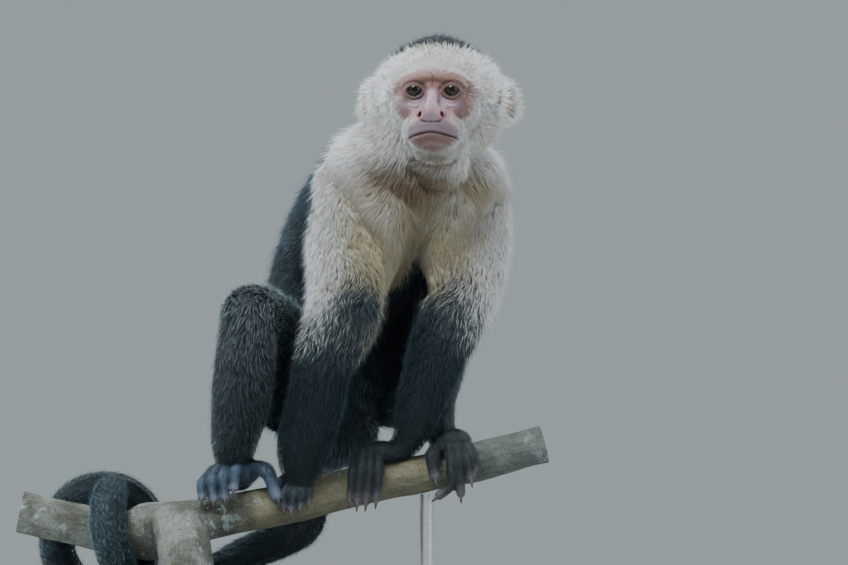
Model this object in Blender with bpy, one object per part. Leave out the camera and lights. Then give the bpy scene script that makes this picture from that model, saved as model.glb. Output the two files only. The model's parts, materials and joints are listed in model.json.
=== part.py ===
"""A white-faced capuchin monkey, life-size, squatting on a cut length of branch.

The branch stands on two short rods over a flat base. The frame is in metres, +Z up, and the
monkey looks along -Y. The origin is the centre of the base's underside.

The body is made as chains (head, trunk, two arms, two legs, tail), each fused from tubes and
ellipsoids that reach out to the tips of the coat. A chain is cut clear of the chains that it
meets, and is then parted by thin cuts into its named nodes.
"""

import math

import bmesh
import bpy
import numpy as np
from mathutils import Matrix, Vector

# ---------------------------------------------------------------- driving sizes (metres)
GAP = 0.0005  # clearance kept between neighbouring solids
BASE_SIZE = (0.320, 0.220, 0.012)
BASE_CORNER = 0.045
BASE_RIM = 0.002
ROD_RADIUS = 0.005
ROD_FEET = ((-0.100, 0.0), (0.068, 0.0))
ROD_REACH = 0.125  # inside the branch, before the branch is cut away from it
COLLAR_RADIUS = 0.011
COLLAR_HEIGHT = 0.007
COLLAR_CHAMFER = 0.0015

BODY_TURN = math.radians(25)  # the chest faces this much to its own left
HEAD_TURN = math.radians(-4.5)  # the face looks this much to its own right
HEAD_CENTRE = (0.0755, -0.022, 0.4040)
EYE_RADIUS = 0.0088
EYE_PLACE = (0.0130, -0.0388, 0.0004)  # in the head's own frame
LID_RADIUS = 0.0100
EYE_OPENING = (0.0054, 0.0048)  # half-width and half-height between the lids
EAR_PLACE = (0.0478, 0.0040, -0.0060)
EAR_RADII = (0.0048, 0.0120, 0.0148)
EAR_TURN = math.radians(30)  # the ears' dishes turn this much to the front
DISH_RADII = (0.0036, 0.0088, 0.0112)
DISH_OUT = 0.0046
NOSTRIL_PLACE = (0.0080, -0.0640, -0.0160)
NOSTRIL_RADII = (0.0016, 0.0028, 0.0020)
LIP_GROOVE = 0.0013
KNUCKLE_FULLNESS = 1.08  # a digit's radius at its knuckle, and how much of it is lost by the tip
TIP_LOSS = 0.22
CLAW_LENGTH = 0.0062
CLAW_RADIUS = 0.0017
CLAW_POINT = 0.0005
CLAW_ARCH = 0.0006

# How each body is fused: voxel size, rounds of smoothing, and the triangles it keeps.
FUSE = {
    "head": (0.0016, 4, 840),
    "trunk": (0.0032, 6, 460),
    "arm": (0.0024, 3, 220),
    "leg": (0.0024, 3, 250),
    "hand": (0.0011, 3, 190),
    "foot": (0.0011, 3, 205),
    "tail": (0.0020, 2, 400),
    "perch": (0.0022, 3, 380),
}
FLAT_ANGLE = math.radians(2.5)
SHARP_ANGLE = math.radians(50)

# Where each chain is parted, counted in stations from its start.
TRUNK_CUTS = (1.75, 2.85, 5.75)
ELBOW_CUT = (3.0,)
KNEE_CUT = (3.2,)
TAIL_CUTS = (3.0, 6.0, 9.0, 12.5)

# Stations along each chain: x, y, z, then one radius, or the half-width and half-depth.
TRUNK = (
    (-0.002, 0.100, 0.176, 0.042, 0.040),
    (0.000, 0.092, 0.207, 0.055, 0.050),
    (0.005, 0.087, 0.245, 0.056, 0.055),
    (0.015, 0.069, 0.281, 0.058, 0.057),
    (0.031, 0.044, 0.314, 0.060, 0.055),
    (0.043, 0.025, 0.340, 0.056, 0.048),
    (0.054, 0.006, 0.360, 0.047, 0.041),
    (0.064, -0.008, 0.380, 0.042, 0.038),
    (0.072, -0.015, 0.396, 0.036, 0.036),
)
YOKE = (
    (0.014, 0.020, 0.334, 0.030),
    (0.036, 0.016, 0.348, 0.031),
    (0.058, 0.018, 0.354, 0.032),
    (0.082, 0.030, 0.350, 0.030),
    (0.100, 0.044, 0.337, 0.027),
)
ARM_RIGHT = (
    (0.012, 0.014, 0.332, 0.0300),
    (0.011, -0.006, 0.300, 0.0305),
    (0.012, -0.026, 0.268, 0.0300),
    (0.0075, -0.036, 0.242, 0.0280),
    (-0.0042, -0.033, 0.214, 0.0232),
    (-0.0100, -0.028, 0.187, 0.0222),
    (-0.0165, -0.021, 0.163, 0.0210),
    (-0.0200, -0.016, 0.146, 0.0175),
    (-0.0208, -0.013, 0.136, 0.0125),
)
ARM_LEFT = (
    (0.101, 0.046, 0.330, 0.0275),
    (0.101, 0.030, 0.303, 0.0285),
    (0.097, 0.012, 0.275, 0.0280),
    (0.0875, -0.004, 0.248, 0.0260),
    (0.077, -0.008, 0.225, 0.0235),
    (0.0685, -0.009, 0.200, 0.0205),
    (0.061, -0.009, 0.178, 0.0170),
    (0.056, -0.006, 0.162, 0.0130),
    (0.050, -0.005, 0.155, 0.0105),
)
LEG_RIGHT = (
    (-0.024, 0.076, 0.200, 0.0410),
    (-0.038, 0.030, 0.222, 0.0360),
    (-0.050, -0.014, 0.241, 0.0280),
    (-0.0550, -0.040, 0.2465, 0.0225),
    (-0.0578, -0.038, 0.230, 0.0222),
    (-0.0600, -0.028, 0.205, 0.0232),
    (-0.0630, -0.018, 0.181, 0.0218),
    (-0.0668, -0.008, 0.160, 0.0175),
    (-0.0672, -0.002, 0.1475, 0.0145),
)
LEG_LEFT = (
    (0.039, 0.093, 0.203, 0.0385),
    (0.060, 0.074, 0.232, 0.0340),
    (0.0755, 0.055, 0.254, 0.0265),
    (0.0790, 0.043, 0.2600, 0.0235),
    (0.0780, 0.035, 0.240, 0.0218),
    (0.0765, 0.027, 0.213, 0.0200),
    (0.0740, 0.018, 0.190, 0.0160),
    (0.0755, 0.009, 0.172, 0.0130),
    (0.0780, 0.003, 0.164, 0.0120),
)
TAIL = (
    (-0.004, 0.133, 0.200, 0.0165),
    (-0.010, 0.147, 0.166, 0.0165),
    (-0.014, 0.131, 0.127, 0.0155),
    (-0.018, 0.093, 0.101, 0.0150),
    (-0.034, 0.056, 0.090, 0.0148),
    (-0.060, 0.038, 0.079, 0.0145),
    (-0.0945, 0.034, 0.0600, 0.0140),
    (-0.1365, 0.031, 0.0480, 0.0138),
    (-0.1715, 0.031, 0.0550, 0.0136),
    (-0.1910, 0.032, 0.0780, 0.0133),
    (-0.1895, 0.031, 0.1060, 0.0130),
    (-0.1750, 0.030, 0.1225, 0.0127),
    (-0.1530, 0.030, 0.1265, 0.0125),
    (-0.1340, 0.031, 0.1165, 0.0122),
    (-0.1260, 0.030, 0.0980, 0.0118),
    (-0.1290, 0.018, 0.0780, 0.0120),
    (-0.1385, -0.004, 0.0640, 0.0122),
    (-0.1480, -0.0245, 0.0730, 0.0122),
    (-0.1545, -0.0300, 0.0940, 0.0120),
    (-0.1560, -0.0245, 0.1135, 0.0113),
    (-0.1530, -0.0080, 0.1250, 0.0102),
    (-0.1500, 0.0055, 0.1270, 0.0078),
)
PERCH = (
    (-0.2170, 0.000, 0.1100, 0.0150),
    (-0.1680, 0.000, 0.0985, 0.0150),
    (-0.1460, 0.000, 0.0950, 0.0155),
    (-0.1265, -0.004, 0.0965, 0.0200),
    (-0.1050, -0.002, 0.1000, 0.0180),
    (-0.0826, 0.000, 0.1054, 0.0150),
    (-0.0301, 0.000, 0.1155, 0.0145),
    (-0.0007, 0.000, 0.1229, 0.0140),
    (0.0385, 0.000, 0.1317, 0.0136),
    (0.0630, 0.000, 0.1360, 0.0138),
    (0.1050, 0.003, 0.1453, 0.0135),
    (0.1500, 0.006, 0.1570, 0.0138),
)
STUB = (
    (-0.1120, -0.008, 0.0980, 0.0190),
    (-0.1060, -0.030, 0.0985, 0.0190),
    (-0.1010, -0.047, 0.0830, 0.0195),
    (-0.0985, -0.053, 0.0560, 0.0205),
)

# Hands and feet: two ellipsoids (centre, radii), and for each digit its points and its radius.
FOOT_RIGHT = {
    "body": ((-0.0650, -0.0010, 0.1385), (0.0170, 0.0145, 0.0115)),
    "heel": ((-0.0640, 0.0130, 0.1330), (0.0110, 0.0110, 0.0095)),
    "digits": (
        (((-0.063, -0.006, 0.1440), (-0.0655, -0.018, 0.1380), (-0.0670, -0.0215, 0.1270)), 0.0042),
        (((-0.0700, -0.006, 0.1430), (-0.0742, -0.0195, 0.1335), (-0.0735, -0.0210, 0.1205)), 0.0042),
        (((-0.0760, -0.005, 0.1415), (-0.0820, -0.0190, 0.1315), (-0.0815, -0.0208, 0.1190)), 0.0041),
        (((-0.0810, -0.003, 0.1390), (-0.0893, -0.0165, 0.1290), (-0.0895, -0.0198, 0.1205)), 0.0039),
        (((-0.0570, -0.005, 0.1410), (-0.0445, -0.0165, 0.1380), (-0.0375, -0.0205, 0.1215)), 0.0056),
    ),
}
FOOT_LEFT = {
    "body": ((0.0850, -0.0010, 0.1590), (0.0140, 0.0135, 0.0095)),
    "heel": ((0.0800, 0.0120, 0.1560), (0.0100, 0.0105, 0.0090)),
    "digits": (
        (((0.0830, -0.010, 0.1575), (0.0850, -0.0205, 0.1430), (0.0850, -0.0205, 0.1290),
          (0.0765, -0.0195, 0.1215)), 0.0042),
        (((0.0885, -0.010, 0.1575), (0.0905, -0.0210, 0.1440), (0.0915, -0.0200, 0.1230)), 0.0041),
        (((0.0935, -0.008, 0.1570), (0.0965, -0.0195, 0.1470), (0.0985, -0.0205, 0.1340)), 0.0041),
        (((0.0965, -0.005, 0.1560), (0.1005, -0.0155, 0.1480), (0.1008, -0.0185, 0.1400)), 0.0037),
        (((0.0765, -0.006, 0.1560), (0.0715, -0.0180, 0.1480), (0.0735, -0.0203, 0.1350)), 0.0052),
    ),
}
HAND_RIGHT = {
    "body": ((-0.0222, -0.0130, 0.1325), (0.0110, 0.0085, 0.0090)),
    "heel": ((-0.0200, -0.0050, 0.1360), (0.0090, 0.0080, 0.0075)),
    "digits": (
        (((-0.0225, -0.0155, 0.1320), (-0.0255, -0.0210, 0.1215), (-0.0268, -0.0205, 0.1120)), 0.0037),
        (((-0.0270, -0.0140, 0.1315), (-0.0315, -0.0190, 0.1220), (-0.0320, -0.0185, 0.1140)), 0.0036),
        (((-0.0185, -0.0155, 0.1310), (-0.0195, -0.0205, 0.1230), (-0.0208, -0.0200, 0.1150)), 0.0036),
        (((-0.0150, -0.0140, 0.1310), (-0.0145, -0.0190, 0.1245), (-0.0150, -0.0190, 0.1180)), 0.0033),
        (((-0.0270, -0.0070, 0.1350), (-0.0340, -0.0110, 0.1310), (-0.0385, -0.0150, 0.1240)), 0.0036),
    ),
}
HAND_LEFT = {
    "body": ((0.0380, -0.0060, 0.1515), (0.0165, 0.0105, 0.0080)),
    "heel": ((0.0500, -0.0030, 0.1530), (0.0090, 0.0090, 0.0080)),
    "digits": (
        (((0.0335, -0.0110, 0.1520), (0.0345, -0.0205, 0.1385), (0.0325, -0.0192, 0.1190)), 0.0037),
        (((0.0285, -0.0115, 0.1530), (0.0280, -0.0210, 0.1395), (0.0255, -0.0192, 0.1172)), 0.0037),
        (((0.0235, -0.0110, 0.1525), (0.0215, -0.0200, 0.1385), (0.0193, -0.0188, 0.1172)), 0.0036),
        (((0.0190, -0.0095, 0.1500), (0.0155, -0.0180, 0.1365), (0.0143, -0.0175, 0.1200)), 0.0033),
        (((0.0440, 0.0020, 0.1500), (0.0370, 0.0100, 0.1475), (0.0290, 0.0135, 0.1430)), 0.0036),
    ),
}

# Colours: base colour, roughness, metallic.
FINISHES = {
    "white_coat": ((0.78, 0.72, 0.62), 0.85, 0.0),
    "black_coat": ((0.022, 0.028, 0.034), 0.80, 0.0),
    "face": ((0.66, 0.42, 0.38), 0.60, 0.0),
    "hand_skin": ((0.10, 0.09, 0.11), 0.55, 0.0),
    "eye": ((0.035, 0.018, 0.010), 0.10, 0.0),
    "bark": ((0.36, 0.31, 0.26), 0.90, 0.0),
    "stand_paint": ((0.10, 0.10, 0.11), 0.45, 0.0),
    "steel": ((0.62, 0.62, 0.64), 0.30, 1.0),
}


# ---------------------------------------------------------------- helpers
def clear_scene():
    for obj in list(bpy.data.objects):
        bpy.data.objects.remove(obj, do_unlink=True)


def material(name):
    """The finish of this name for one node, as its own material."""
    colour, roughness, metallic = FINISHES[name]
    made = bpy.data.materials.new(name)
    made.use_nodes = True
    shader = made.node_tree.nodes["Principled BSDF"]
    shader.inputs["Base Color"].default_value = (*colour, 1.0)
    shader.inputs["Roughness"].default_value = roughness
    shader.inputs["Metallic"].default_value = metallic
    return made


def add_object(name, mesh):
    obj = bpy.data.objects.new(name, mesh)
    bpy.context.scene.collection.objects.link(obj)
    return obj


def from_lists(name, points, faces):
    """A new object from points and faces, its faces turned outwards."""
    mesh = bpy.data.meshes.new(name)
    mesh.from_pydata([tuple(p) for p in points], [], faces)
    work = bmesh.new()
    work.from_mesh(mesh)
    bmesh.ops.recalc_face_normals(work, faces=work.faces)
    work.to_mesh(mesh)
    work.free()
    return add_object(name, mesh)


def settle(obj):
    """Makes the object's evaluated shape its own mesh, and drops its modifiers."""
    bpy.context.view_layer.update()
    graph = bpy.context.evaluated_depsgraph_get()
    old = obj.data
    obj.data = bpy.data.meshes.new_from_object(obj.evaluated_get(graph))
    obj.modifiers.clear()
    bpy.data.meshes.remove(old)
    return obj


def drop(*objects):
    for obj in objects:
        bpy.data.objects.remove(obj, do_unlink=True)


def smooth_path(rows, steps):
    """A Catmull-Rom curve through rows of numbers, with this many steps between two rows."""
    rows = np.array(rows, float)
    ends = np.vstack([2 * rows[0] - rows[1], rows, 2 * rows[-1] - rows[-2]])
    out = []
    for i in range(1, len(ends) - 2):
        p0, p1, p2, p3 = ends[i - 1 : i + 3]
        for t in np.arange(steps) / steps:
            out.append(
                0.5
                * (
                    2 * p1
                    + (p2 - p0) * t
                    + (2 * p0 - 5 * p1 + 4 * p2 - p3) * t * t
                    + (3 * p1 - p0 - 3 * p2 + p3) * t**3
                )
            )
    return np.array([*out, rows[-1]])


def tube(name, stations, sides=20, steps=4, across=(1.0, 0.0, 0.0), cap_rings=4, flat=False):
    """A closed tube through the stations. Its ends are domes, or flat for a sawn branch.

    Each ring takes its sideways direction from the ring before, starting near `across`.
    """
    rows = smooth_path(stations, steps)
    centres, radii = rows[:, :3], rows[:, 3:]
    widths, depths = radii[:, 0], radii[:, -1]
    along = np.gradient(centres, axis=0)
    along /= np.linalg.norm(along, axis=1)[:, None]
    rings = []
    side = np.array(across, float)
    if abs(side.dot(along[0])) > 0.9:
        side = np.array((0.0, 0.0, 1.0))

    def ring(centre, direction, width, depth):
        nonlocal side
        side = side - direction * side.dot(direction)
        side /= np.linalg.norm(side)
        other = np.cross(direction, side)
        angles = 2 * math.pi * np.arange(sides) / sides
        rings.append(
            centre
            + width * np.cos(angles)[:, None] * side
            + depth * np.sin(angles)[:, None] * other
        )

    domes = () if flat else [math.pi / 2 * k / cap_rings for k in range(cap_rings - 1, 0, -1)]
    reach = 0.0 if flat else min(widths[0], depths[0])
    for angle in domes:
        ring(centres[0] - along[0] * reach * math.sin(angle), along[0],
             widths[0] * math.cos(angle), depths[0] * math.cos(angle))
    first = centres[0] - along[0] * reach
    for centre, direction, width, depth in zip(centres, along, widths, depths):
        ring(centre, direction, width, depth)
    reach = 0.0 if flat else min(widths[-1], depths[-1])
    for angle in reversed(domes):
        ring(centres[-1] + along[-1] * reach * math.sin(angle), along[-1],
             widths[-1] * math.cos(angle), depths[-1] * math.cos(angle))
    last = centres[-1] + along[-1] * reach

    points = [first, *np.concatenate(rings), last]
    faces = []
    for j in range(sides):
        k = (j + 1) % sides
        faces.append((0, 1 + k, 1 + j))
        for i in range(len(rings) - 1):
            a = 1 + i * sides
            b = a + sides
            faces.append((a + j, a + k, b + k, b + j))
        end = 1 + (len(rings) - 1) * sides
        faces.append((end + j, end + k, len(points) - 1))
    return from_lists(name, points, faces)


def ellipsoid(name, centre, radii, turn=0.0, segments=24, rings=14):
    """An ellipsoid, turned about Z."""
    mesh = bpy.data.meshes.new(name)
    work = bmesh.new()
    bmesh.ops.create_uvsphere(work, u_segments=segments, v_segments=rings, radius=1.0)
    place = Matrix.Translation(centre) @ Matrix.Rotation(turn, 4, "Z") @ Matrix.Diagonal((*radii, 1.0))
    bmesh.ops.transform(work, matrix=place, verts=work.verts)
    work.to_mesh(mesh)
    work.free()
    return add_object(name, mesh)


def joined(name, pieces):
    """The pieces' meshes in one object, still overlapping."""
    work = bmesh.new()
    for piece in pieces:
        work.from_mesh(piece.data)
    mesh = bpy.data.meshes.new(name)
    work.to_mesh(mesh)
    work.free()
    drop(*pieces)
    return add_object(name, mesh)


def fused(name, pieces, kind):
    """One smooth closed body from overlapping pieces, by the settings of its kind."""
    voxel, rounds, triangles = FUSE[kind]
    body = joined(name, pieces)
    remesh = body.modifiers.new("Fuse", "REMESH")
    remesh.mode = "VOXEL"
    remesh.voxel_size = voxel
    smooth = body.modifiers.new("Blend", "SMOOTH")
    smooth.factor = 0.5
    smooth.iterations = rounds
    settle(body)
    body.data.calc_loop_triangles()
    thin = body.modifiers.new("Thin", "DECIMATE")
    thin.ratio = min(1.0, triangles / len(body.data.loop_triangles))
    thin.use_collapse_triangulate = True
    return settle(body)


def boolean(body, other, operation):
    step = body.modifiers.new(operation, "BOOLEAN")
    step.operation = operation
    step.solver = "EXACT"
    step.object = other
    return settle(body)


def shells_of(work):
    """The faces of each separate shell, the smallest shell first."""
    left = set(work.faces)
    shells = []
    while left:
        shell, grow = set(), [left.pop()]
        while grow:
            face = grow.pop()
            shell.add(face)
            for edge in face.edges:
                for near in edge.link_faces:
                    if near in left:
                        left.discard(near)
                        grow.append(near)
        shells.append(shell)
    return sorted(shells, key=lambda shell: sum(face.calc_area() for face in shell))


def keep_shell(body, place):
    """Leaves only one shell of a body, counted from the largest."""
    work = bmesh.new()
    work.from_mesh(body.data)
    shells = shells_of(work)
    shells.pop(-1 - place)
    for shell in shells:
        bmesh.ops.delete(work, geom=list(shell), context="FACES")
    work.to_mesh(body.data)
    work.free()
    return body


def largest(body):
    """Drops the crumbs that a cut may leave."""
    return keep_shell(body, 0)


def swollen(body, by):
    """A copy of a body, moved outwards by this much, to cut its neighbours clear."""
    copy = add_object(body.name + "_cutter", body.data.copy())
    grow = copy.modifiers.new("Grow", "DISPLACE")
    grow.strength = by
    grow.mid_level = 0.0
    return settle(copy)


def cut_clear(body, *others):
    """Cuts the body back from each of the others, leaving the gap."""
    for other in others:
        cutter = swollen(other, GAP)
        boolean(body, cutter, "DIFFERENCE")
        drop(cutter)
    return largest(body)


def disc(centre, normal, radius):
    """A thin round blade, as thick as the gap."""
    mesh = bpy.data.meshes.new("blade")
    work = bmesh.new()
    bmesh.ops.create_cone(work, cap_ends=True, segments=16, radius1=radius, radius2=radius, depth=GAP)
    turn = normal.to_track_quat("Z", "Y").to_matrix().to_4x4()
    bmesh.ops.transform(work, matrix=Matrix.Translation(centre) @ turn, verts=work.verts)
    work.to_mesh(mesh)
    work.free()
    return add_object("blade", mesh)


def parted(chain, names, stations, cuts, reach=1.7):
    """Parts a chain into named nodes with a thin blade at each cut, a place along the stations."""
    for cut in cuts:
        index = int(cut)
        here, after = Vector(stations[index][:3]), Vector(stations[index + 1][:3])
        before = Vector(stations[index - 1][:3])
        across = (here - before).normalized() + (after - here).normalized()
        blade = disc(here.lerp(after, cut - index), across, reach * max(stations[index][3:]))
        boolean(chain, blade, "DIFFERENCE")
        drop(blade)
    path = np.array([station[:3] for station in stations])
    pieces = []
    for place in range(len(names)):
        piece = keep_shell(add_object("piece", chain.data.copy()), place)
        points = np.array([vertex.co for vertex in piece.data.vertices])
        nearest = np.linalg.norm(points[:, None] - path, axis=2).argmin(axis=1)
        pieces.append((nearest.mean(), piece))
    pieces.sort(key=lambda pair: pair[0])
    for (_, piece), name in zip(pieces, names):
        piece.name = name
    drop(chain)
    return [piece for _, piece in pieces]


def flatten(body):
    """Merges the nearly level faces that cuts leave side by side, and makes triangles again."""
    work = bmesh.new()
    work.from_mesh(body.data)
    bmesh.ops.dissolve_limit(work, angle_limit=FLAT_ANGLE, verts=work.verts, edges=work.edges)
    bmesh.ops.triangulate(work, faces=work.faces)
    work.to_mesh(body.data)
    work.free()


def finish(nodes, finish_name):
    for node in nodes:
        flatten(node)
        node.data.materials.clear()
        node.data.materials.append(material(finish_name))
        node.data.shade_smooth()
        node.data.set_sharp_from_angle(angle=SHARP_ANGLE)


# ---------------------------------------------------------------- the head
def head_place():
    return Matrix.Translation(HEAD_CENTRE) @ Matrix.Rotation(HEAD_TURN, 4, "Z")


def make_head_form():
    """Skull, ruff, brow, lids, cheeks, muzzle and nose as one body, in the head's own frame."""
    pieces = [
        ellipsoid("skull", (0, 0.001, 0.004), (0.0472, 0.0460, 0.0376)),
        ellipsoid("ruff", (0, -0.005, -0.0150), (0.0505, 0.0360, 0.0345)),
        ellipsoid("front", (0, -0.0200, -0.0010), (0.0305, 0.0265, 0.0250)),
        ellipsoid("muzzle", (0, -0.0420, -0.0235), (0.0210, 0.0225, 0.0142)),
        ellipsoid("jaw", (0, -0.0400, -0.0330), (0.0178, 0.0188, 0.0102)),
    ]
    brow = ((-0.0245, -0.0345, 0.0085, 0.0050), (-0.0125, -0.0420, 0.0122, 0.0056),
            (0.0, -0.0430, 0.0105, 0.0052), (0.0125, -0.0420, 0.0122, 0.0056),
            (0.0245, -0.0345, 0.0085, 0.0050))
    pieces.append(tube("brow", brow, sides=10))
    nose = ((0, -0.0435, 0.0050, 0.0040, 0.0040), (0, -0.0520, -0.0060, 0.0052, 0.0048),
            (0, -0.0595, -0.0142, 0.0085, 0.0058))
    pieces.append(tube("nose", nose, sides=12))
    for side in (-1, 1):
        pieces.append(ellipsoid("cheek", (side * 0.0215, -0.0290, -0.0120), (0.0115, 0.0125, 0.0130)))
        pieces.append(ellipsoid("lids", (side * EYE_PLACE[0], *EYE_PLACE[1:]), (LID_RADIUS,) * 3))
    return fused("head_form", pieces, "head")


def carve_head(form):
    """The head in place, with its eye sockets, nostrils and mouth cut into a copy of its form."""
    head = add_object("head", form.data.copy())
    for side in (-1, 1):
        socket = ellipsoid("socket", (side * EYE_PLACE[0], *EYE_PLACE[1:]),
                           (EYE_RADIUS + GAP,) * 3, segments=12, rings=8)
        opening = ellipsoid("opening", (side * EYE_PLACE[0], EYE_PLACE[1] - 0.012, EYE_PLACE[2]),
                            (EYE_OPENING[0], 0.020, EYE_OPENING[1]), segments=12, rings=4)
        boolean(head, socket, "DIFFERENCE")
        boolean(head, opening, "DIFFERENCE")
        nostril = ellipsoid("nostril", (side * NOSTRIL_PLACE[0], *NOSTRIL_PLACE[1:]), NOSTRIL_RADII,
                            segments=8, rings=6)
        boolean(head, nostril, "DIFFERENCE")
        drop(socket, opening, nostril)
    lips = ((-0.0180, -0.0495, -0.0340), (-0.0120, -0.0580, -0.0308), (0, -0.0635, -0.0285),
            (0.0120, -0.0580, -0.0308), (0.0180, -0.0495, -0.0340))
    mouth = tube("mouth", [(*p, LIP_GROOVE) for p in lips], sides=5, steps=2, cap_rings=1)
    boolean(head, mouth, "DIFFERENCE")
    drop(mouth)
    head.data.transform(head_place())
    return largest(head)


def make_eyes():
    eyes = []
    for name, side in (("eye_right", -1), ("eye_left", 1)):
        eye = ellipsoid(name, (side * EYE_PLACE[0], *EYE_PLACE[1:]), (EYE_RADIUS,) * 3,
                        segments=12, rings=8)
        eye.data.transform(head_place())
        eyes.append(eye)
    return eyes


def make_ears():
    """Low round ears, dished towards the front, standing a little out of the ruff."""
    ears = []
    for name, side in (("ear_right", -1), ("ear_left", 1)):
        turn = -side * EAR_TURN
        place = Vector((side * EAR_PLACE[0], *EAR_PLACE[1:]))
        ear = ellipsoid(name, place, EAR_RADII, turn=turn, segments=11, rings=7)
        outwards = side * Vector((math.cos(turn), math.sin(turn), 0.0))
        dish = ellipsoid("dish", place + DISH_OUT * outwards, DISH_RADII, turn=turn, segments=9, rings=5)
        boolean(ear, dish, "DIFFERENCE")
        drop(dish)
        ear.data.transform(head_place())
        ears.append(largest(ear))
    return ears


# ---------------------------------------------------------------- hands and feet
def make_claw(points, radius):
    """A short arched claw that starts inside the fingertip, on its front side."""
    tip, before = Vector(points[-1]), Vector(points[-2])
    along = (tip - before).normalized()
    front = Vector((0, -1, 0))
    start = tip + (0.3 * along + 0.25 * front) * radius
    middle = start + 0.6 * CLAW_LENGTH * along + CLAW_ARCH * front
    end = start + CLAW_LENGTH * along - CLAW_ARCH * front
    stations = [(*start, CLAW_RADIUS), (*middle, 0.7 * CLAW_RADIUS), (*end, CLAW_POINT)]
    return tube("claw", stations, sides=5, steps=1, cap_rings=1)


def make_extremity(name, plan, kind):
    """A hand or foot: its body, its heel and five digits, with a claw at each tip."""
    pieces = [ellipsoid(name + "_body", *plan["body"]), ellipsoid(name + "_heel", *plan["heel"])]
    for points, radius in plan["digits"]:
        last = len(points) - 1
        stations = [(*p, radius * (KNUCKLE_FULLNESS - TIP_LOSS * i / last)) for i, p in enumerate(points)]
        pieces.append(tube(name + "_digit", stations, sides=12, steps=5))
    body = fused(name, pieces, kind)
    for points, radius in plan["digits"]:
        claw = make_claw(points, radius)
        boolean(body, claw, "UNION")
        drop(claw)
    return largest(body)


# ---------------------------------------------------------------- perch and stand
def make_perch():
    """The cut branch with its knot and the sawn stub of its fork."""
    limb = tube("limb", PERCH, sides=20, steps=3, flat=True)
    stub = tube("stub", STUB, sides=20, steps=4, flat=True)
    knot = ellipsoid("knot", (-0.1275, -0.008, 0.0965), (0.0190, 0.0190, 0.0205))
    return fused("perch", [limb, stub, knot], "perch")


def make_base():
    """A flat plate with round corners and a soft upper edge."""
    mesh = bpy.data.meshes.new("stand_base")
    work = bmesh.new()
    bmesh.ops.create_cube(work, size=1.0)
    bmesh.ops.scale(work, vec=BASE_SIZE, verts=work.verts)
    bmesh.ops.translate(work, vec=(0, 0, BASE_SIZE[2] / 2), verts=work.verts)
    upright = [e for e in work.edges if abs(e.verts[0].co.z - e.verts[1].co.z) > BASE_SIZE[2] / 2]
    bmesh.ops.bevel(work, geom=upright, offset=BASE_CORNER, segments=5, profile=0.5, affect="EDGES")
    rim = [e for e in work.edges if all(v.co.z > BASE_SIZE[2] * 0.9 for v in e.verts)]
    bmesh.ops.bevel(work, geom=rim, offset=BASE_RIM, segments=2, profile=0.5, affect="EDGES")
    bmesh.ops.recalc_face_normals(work, faces=work.faces)
    work.to_mesh(mesh)
    work.free()
    return add_object("stand_base", mesh)


def make_rod(name, foot, perch):
    """A turned rod with a collar at its foot, its top cut to the branch's underside."""
    low = BASE_SIZE[2] + GAP
    profile = ((COLLAR_RADIUS, low), (COLLAR_RADIUS, low + COLLAR_HEIGHT - COLLAR_CHAMFER),
               (COLLAR_RADIUS - COLLAR_CHAMFER, low + COLLAR_HEIGHT), (ROD_RADIUS, low + COLLAR_HEIGHT),
               (ROD_RADIUS, ROD_REACH))
    sides = 14
    points = [(foot[0], foot[1], low)]
    for radius, height in profile:
        for j in range(sides):
            angle = 2 * math.pi * j / sides
            points.append((foot[0] + radius * math.cos(angle), foot[1] + radius * math.sin(angle), height))
    points.append((foot[0], foot[1], profile[-1][1]))
    faces = []
    for j in range(sides):
        k = (j + 1) % sides
        faces.append((0, 1 + k, 1 + j))
        for i in range(len(profile) - 1):
            a = 1 + i * sides
            faces.append((a + j, a + k, a + sides + k, a + sides + j))
        end = 1 + (len(profile) - 1) * sides
        faces.append((end + j, end + k, len(points) - 1))
    return cut_clear(from_lists(name, points, faces), perch)


# ---------------------------------------------------------------- the whole
def make_trunk(*clear_of):
    lateral = (math.cos(BODY_TURN), math.sin(BODY_TURN), 0.0)
    trunk = fused(
        "trunk",
        [tube("core", TRUNK, sides=28, across=lateral), tube("yoke", YOKE, across=(0, 0, 1))],
        "trunk",
    )
    cut_clear(trunk, *clear_of)
    return parted(trunk, ("pelvis", "belly", "chest", "neck"), TRUNK, TRUNK_CUTS, reach=2.0)


def make_limb(name, stations, kind, *clear_of):
    return cut_clear(fused(name, [tube(name, stations)], kind), *clear_of)


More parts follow.
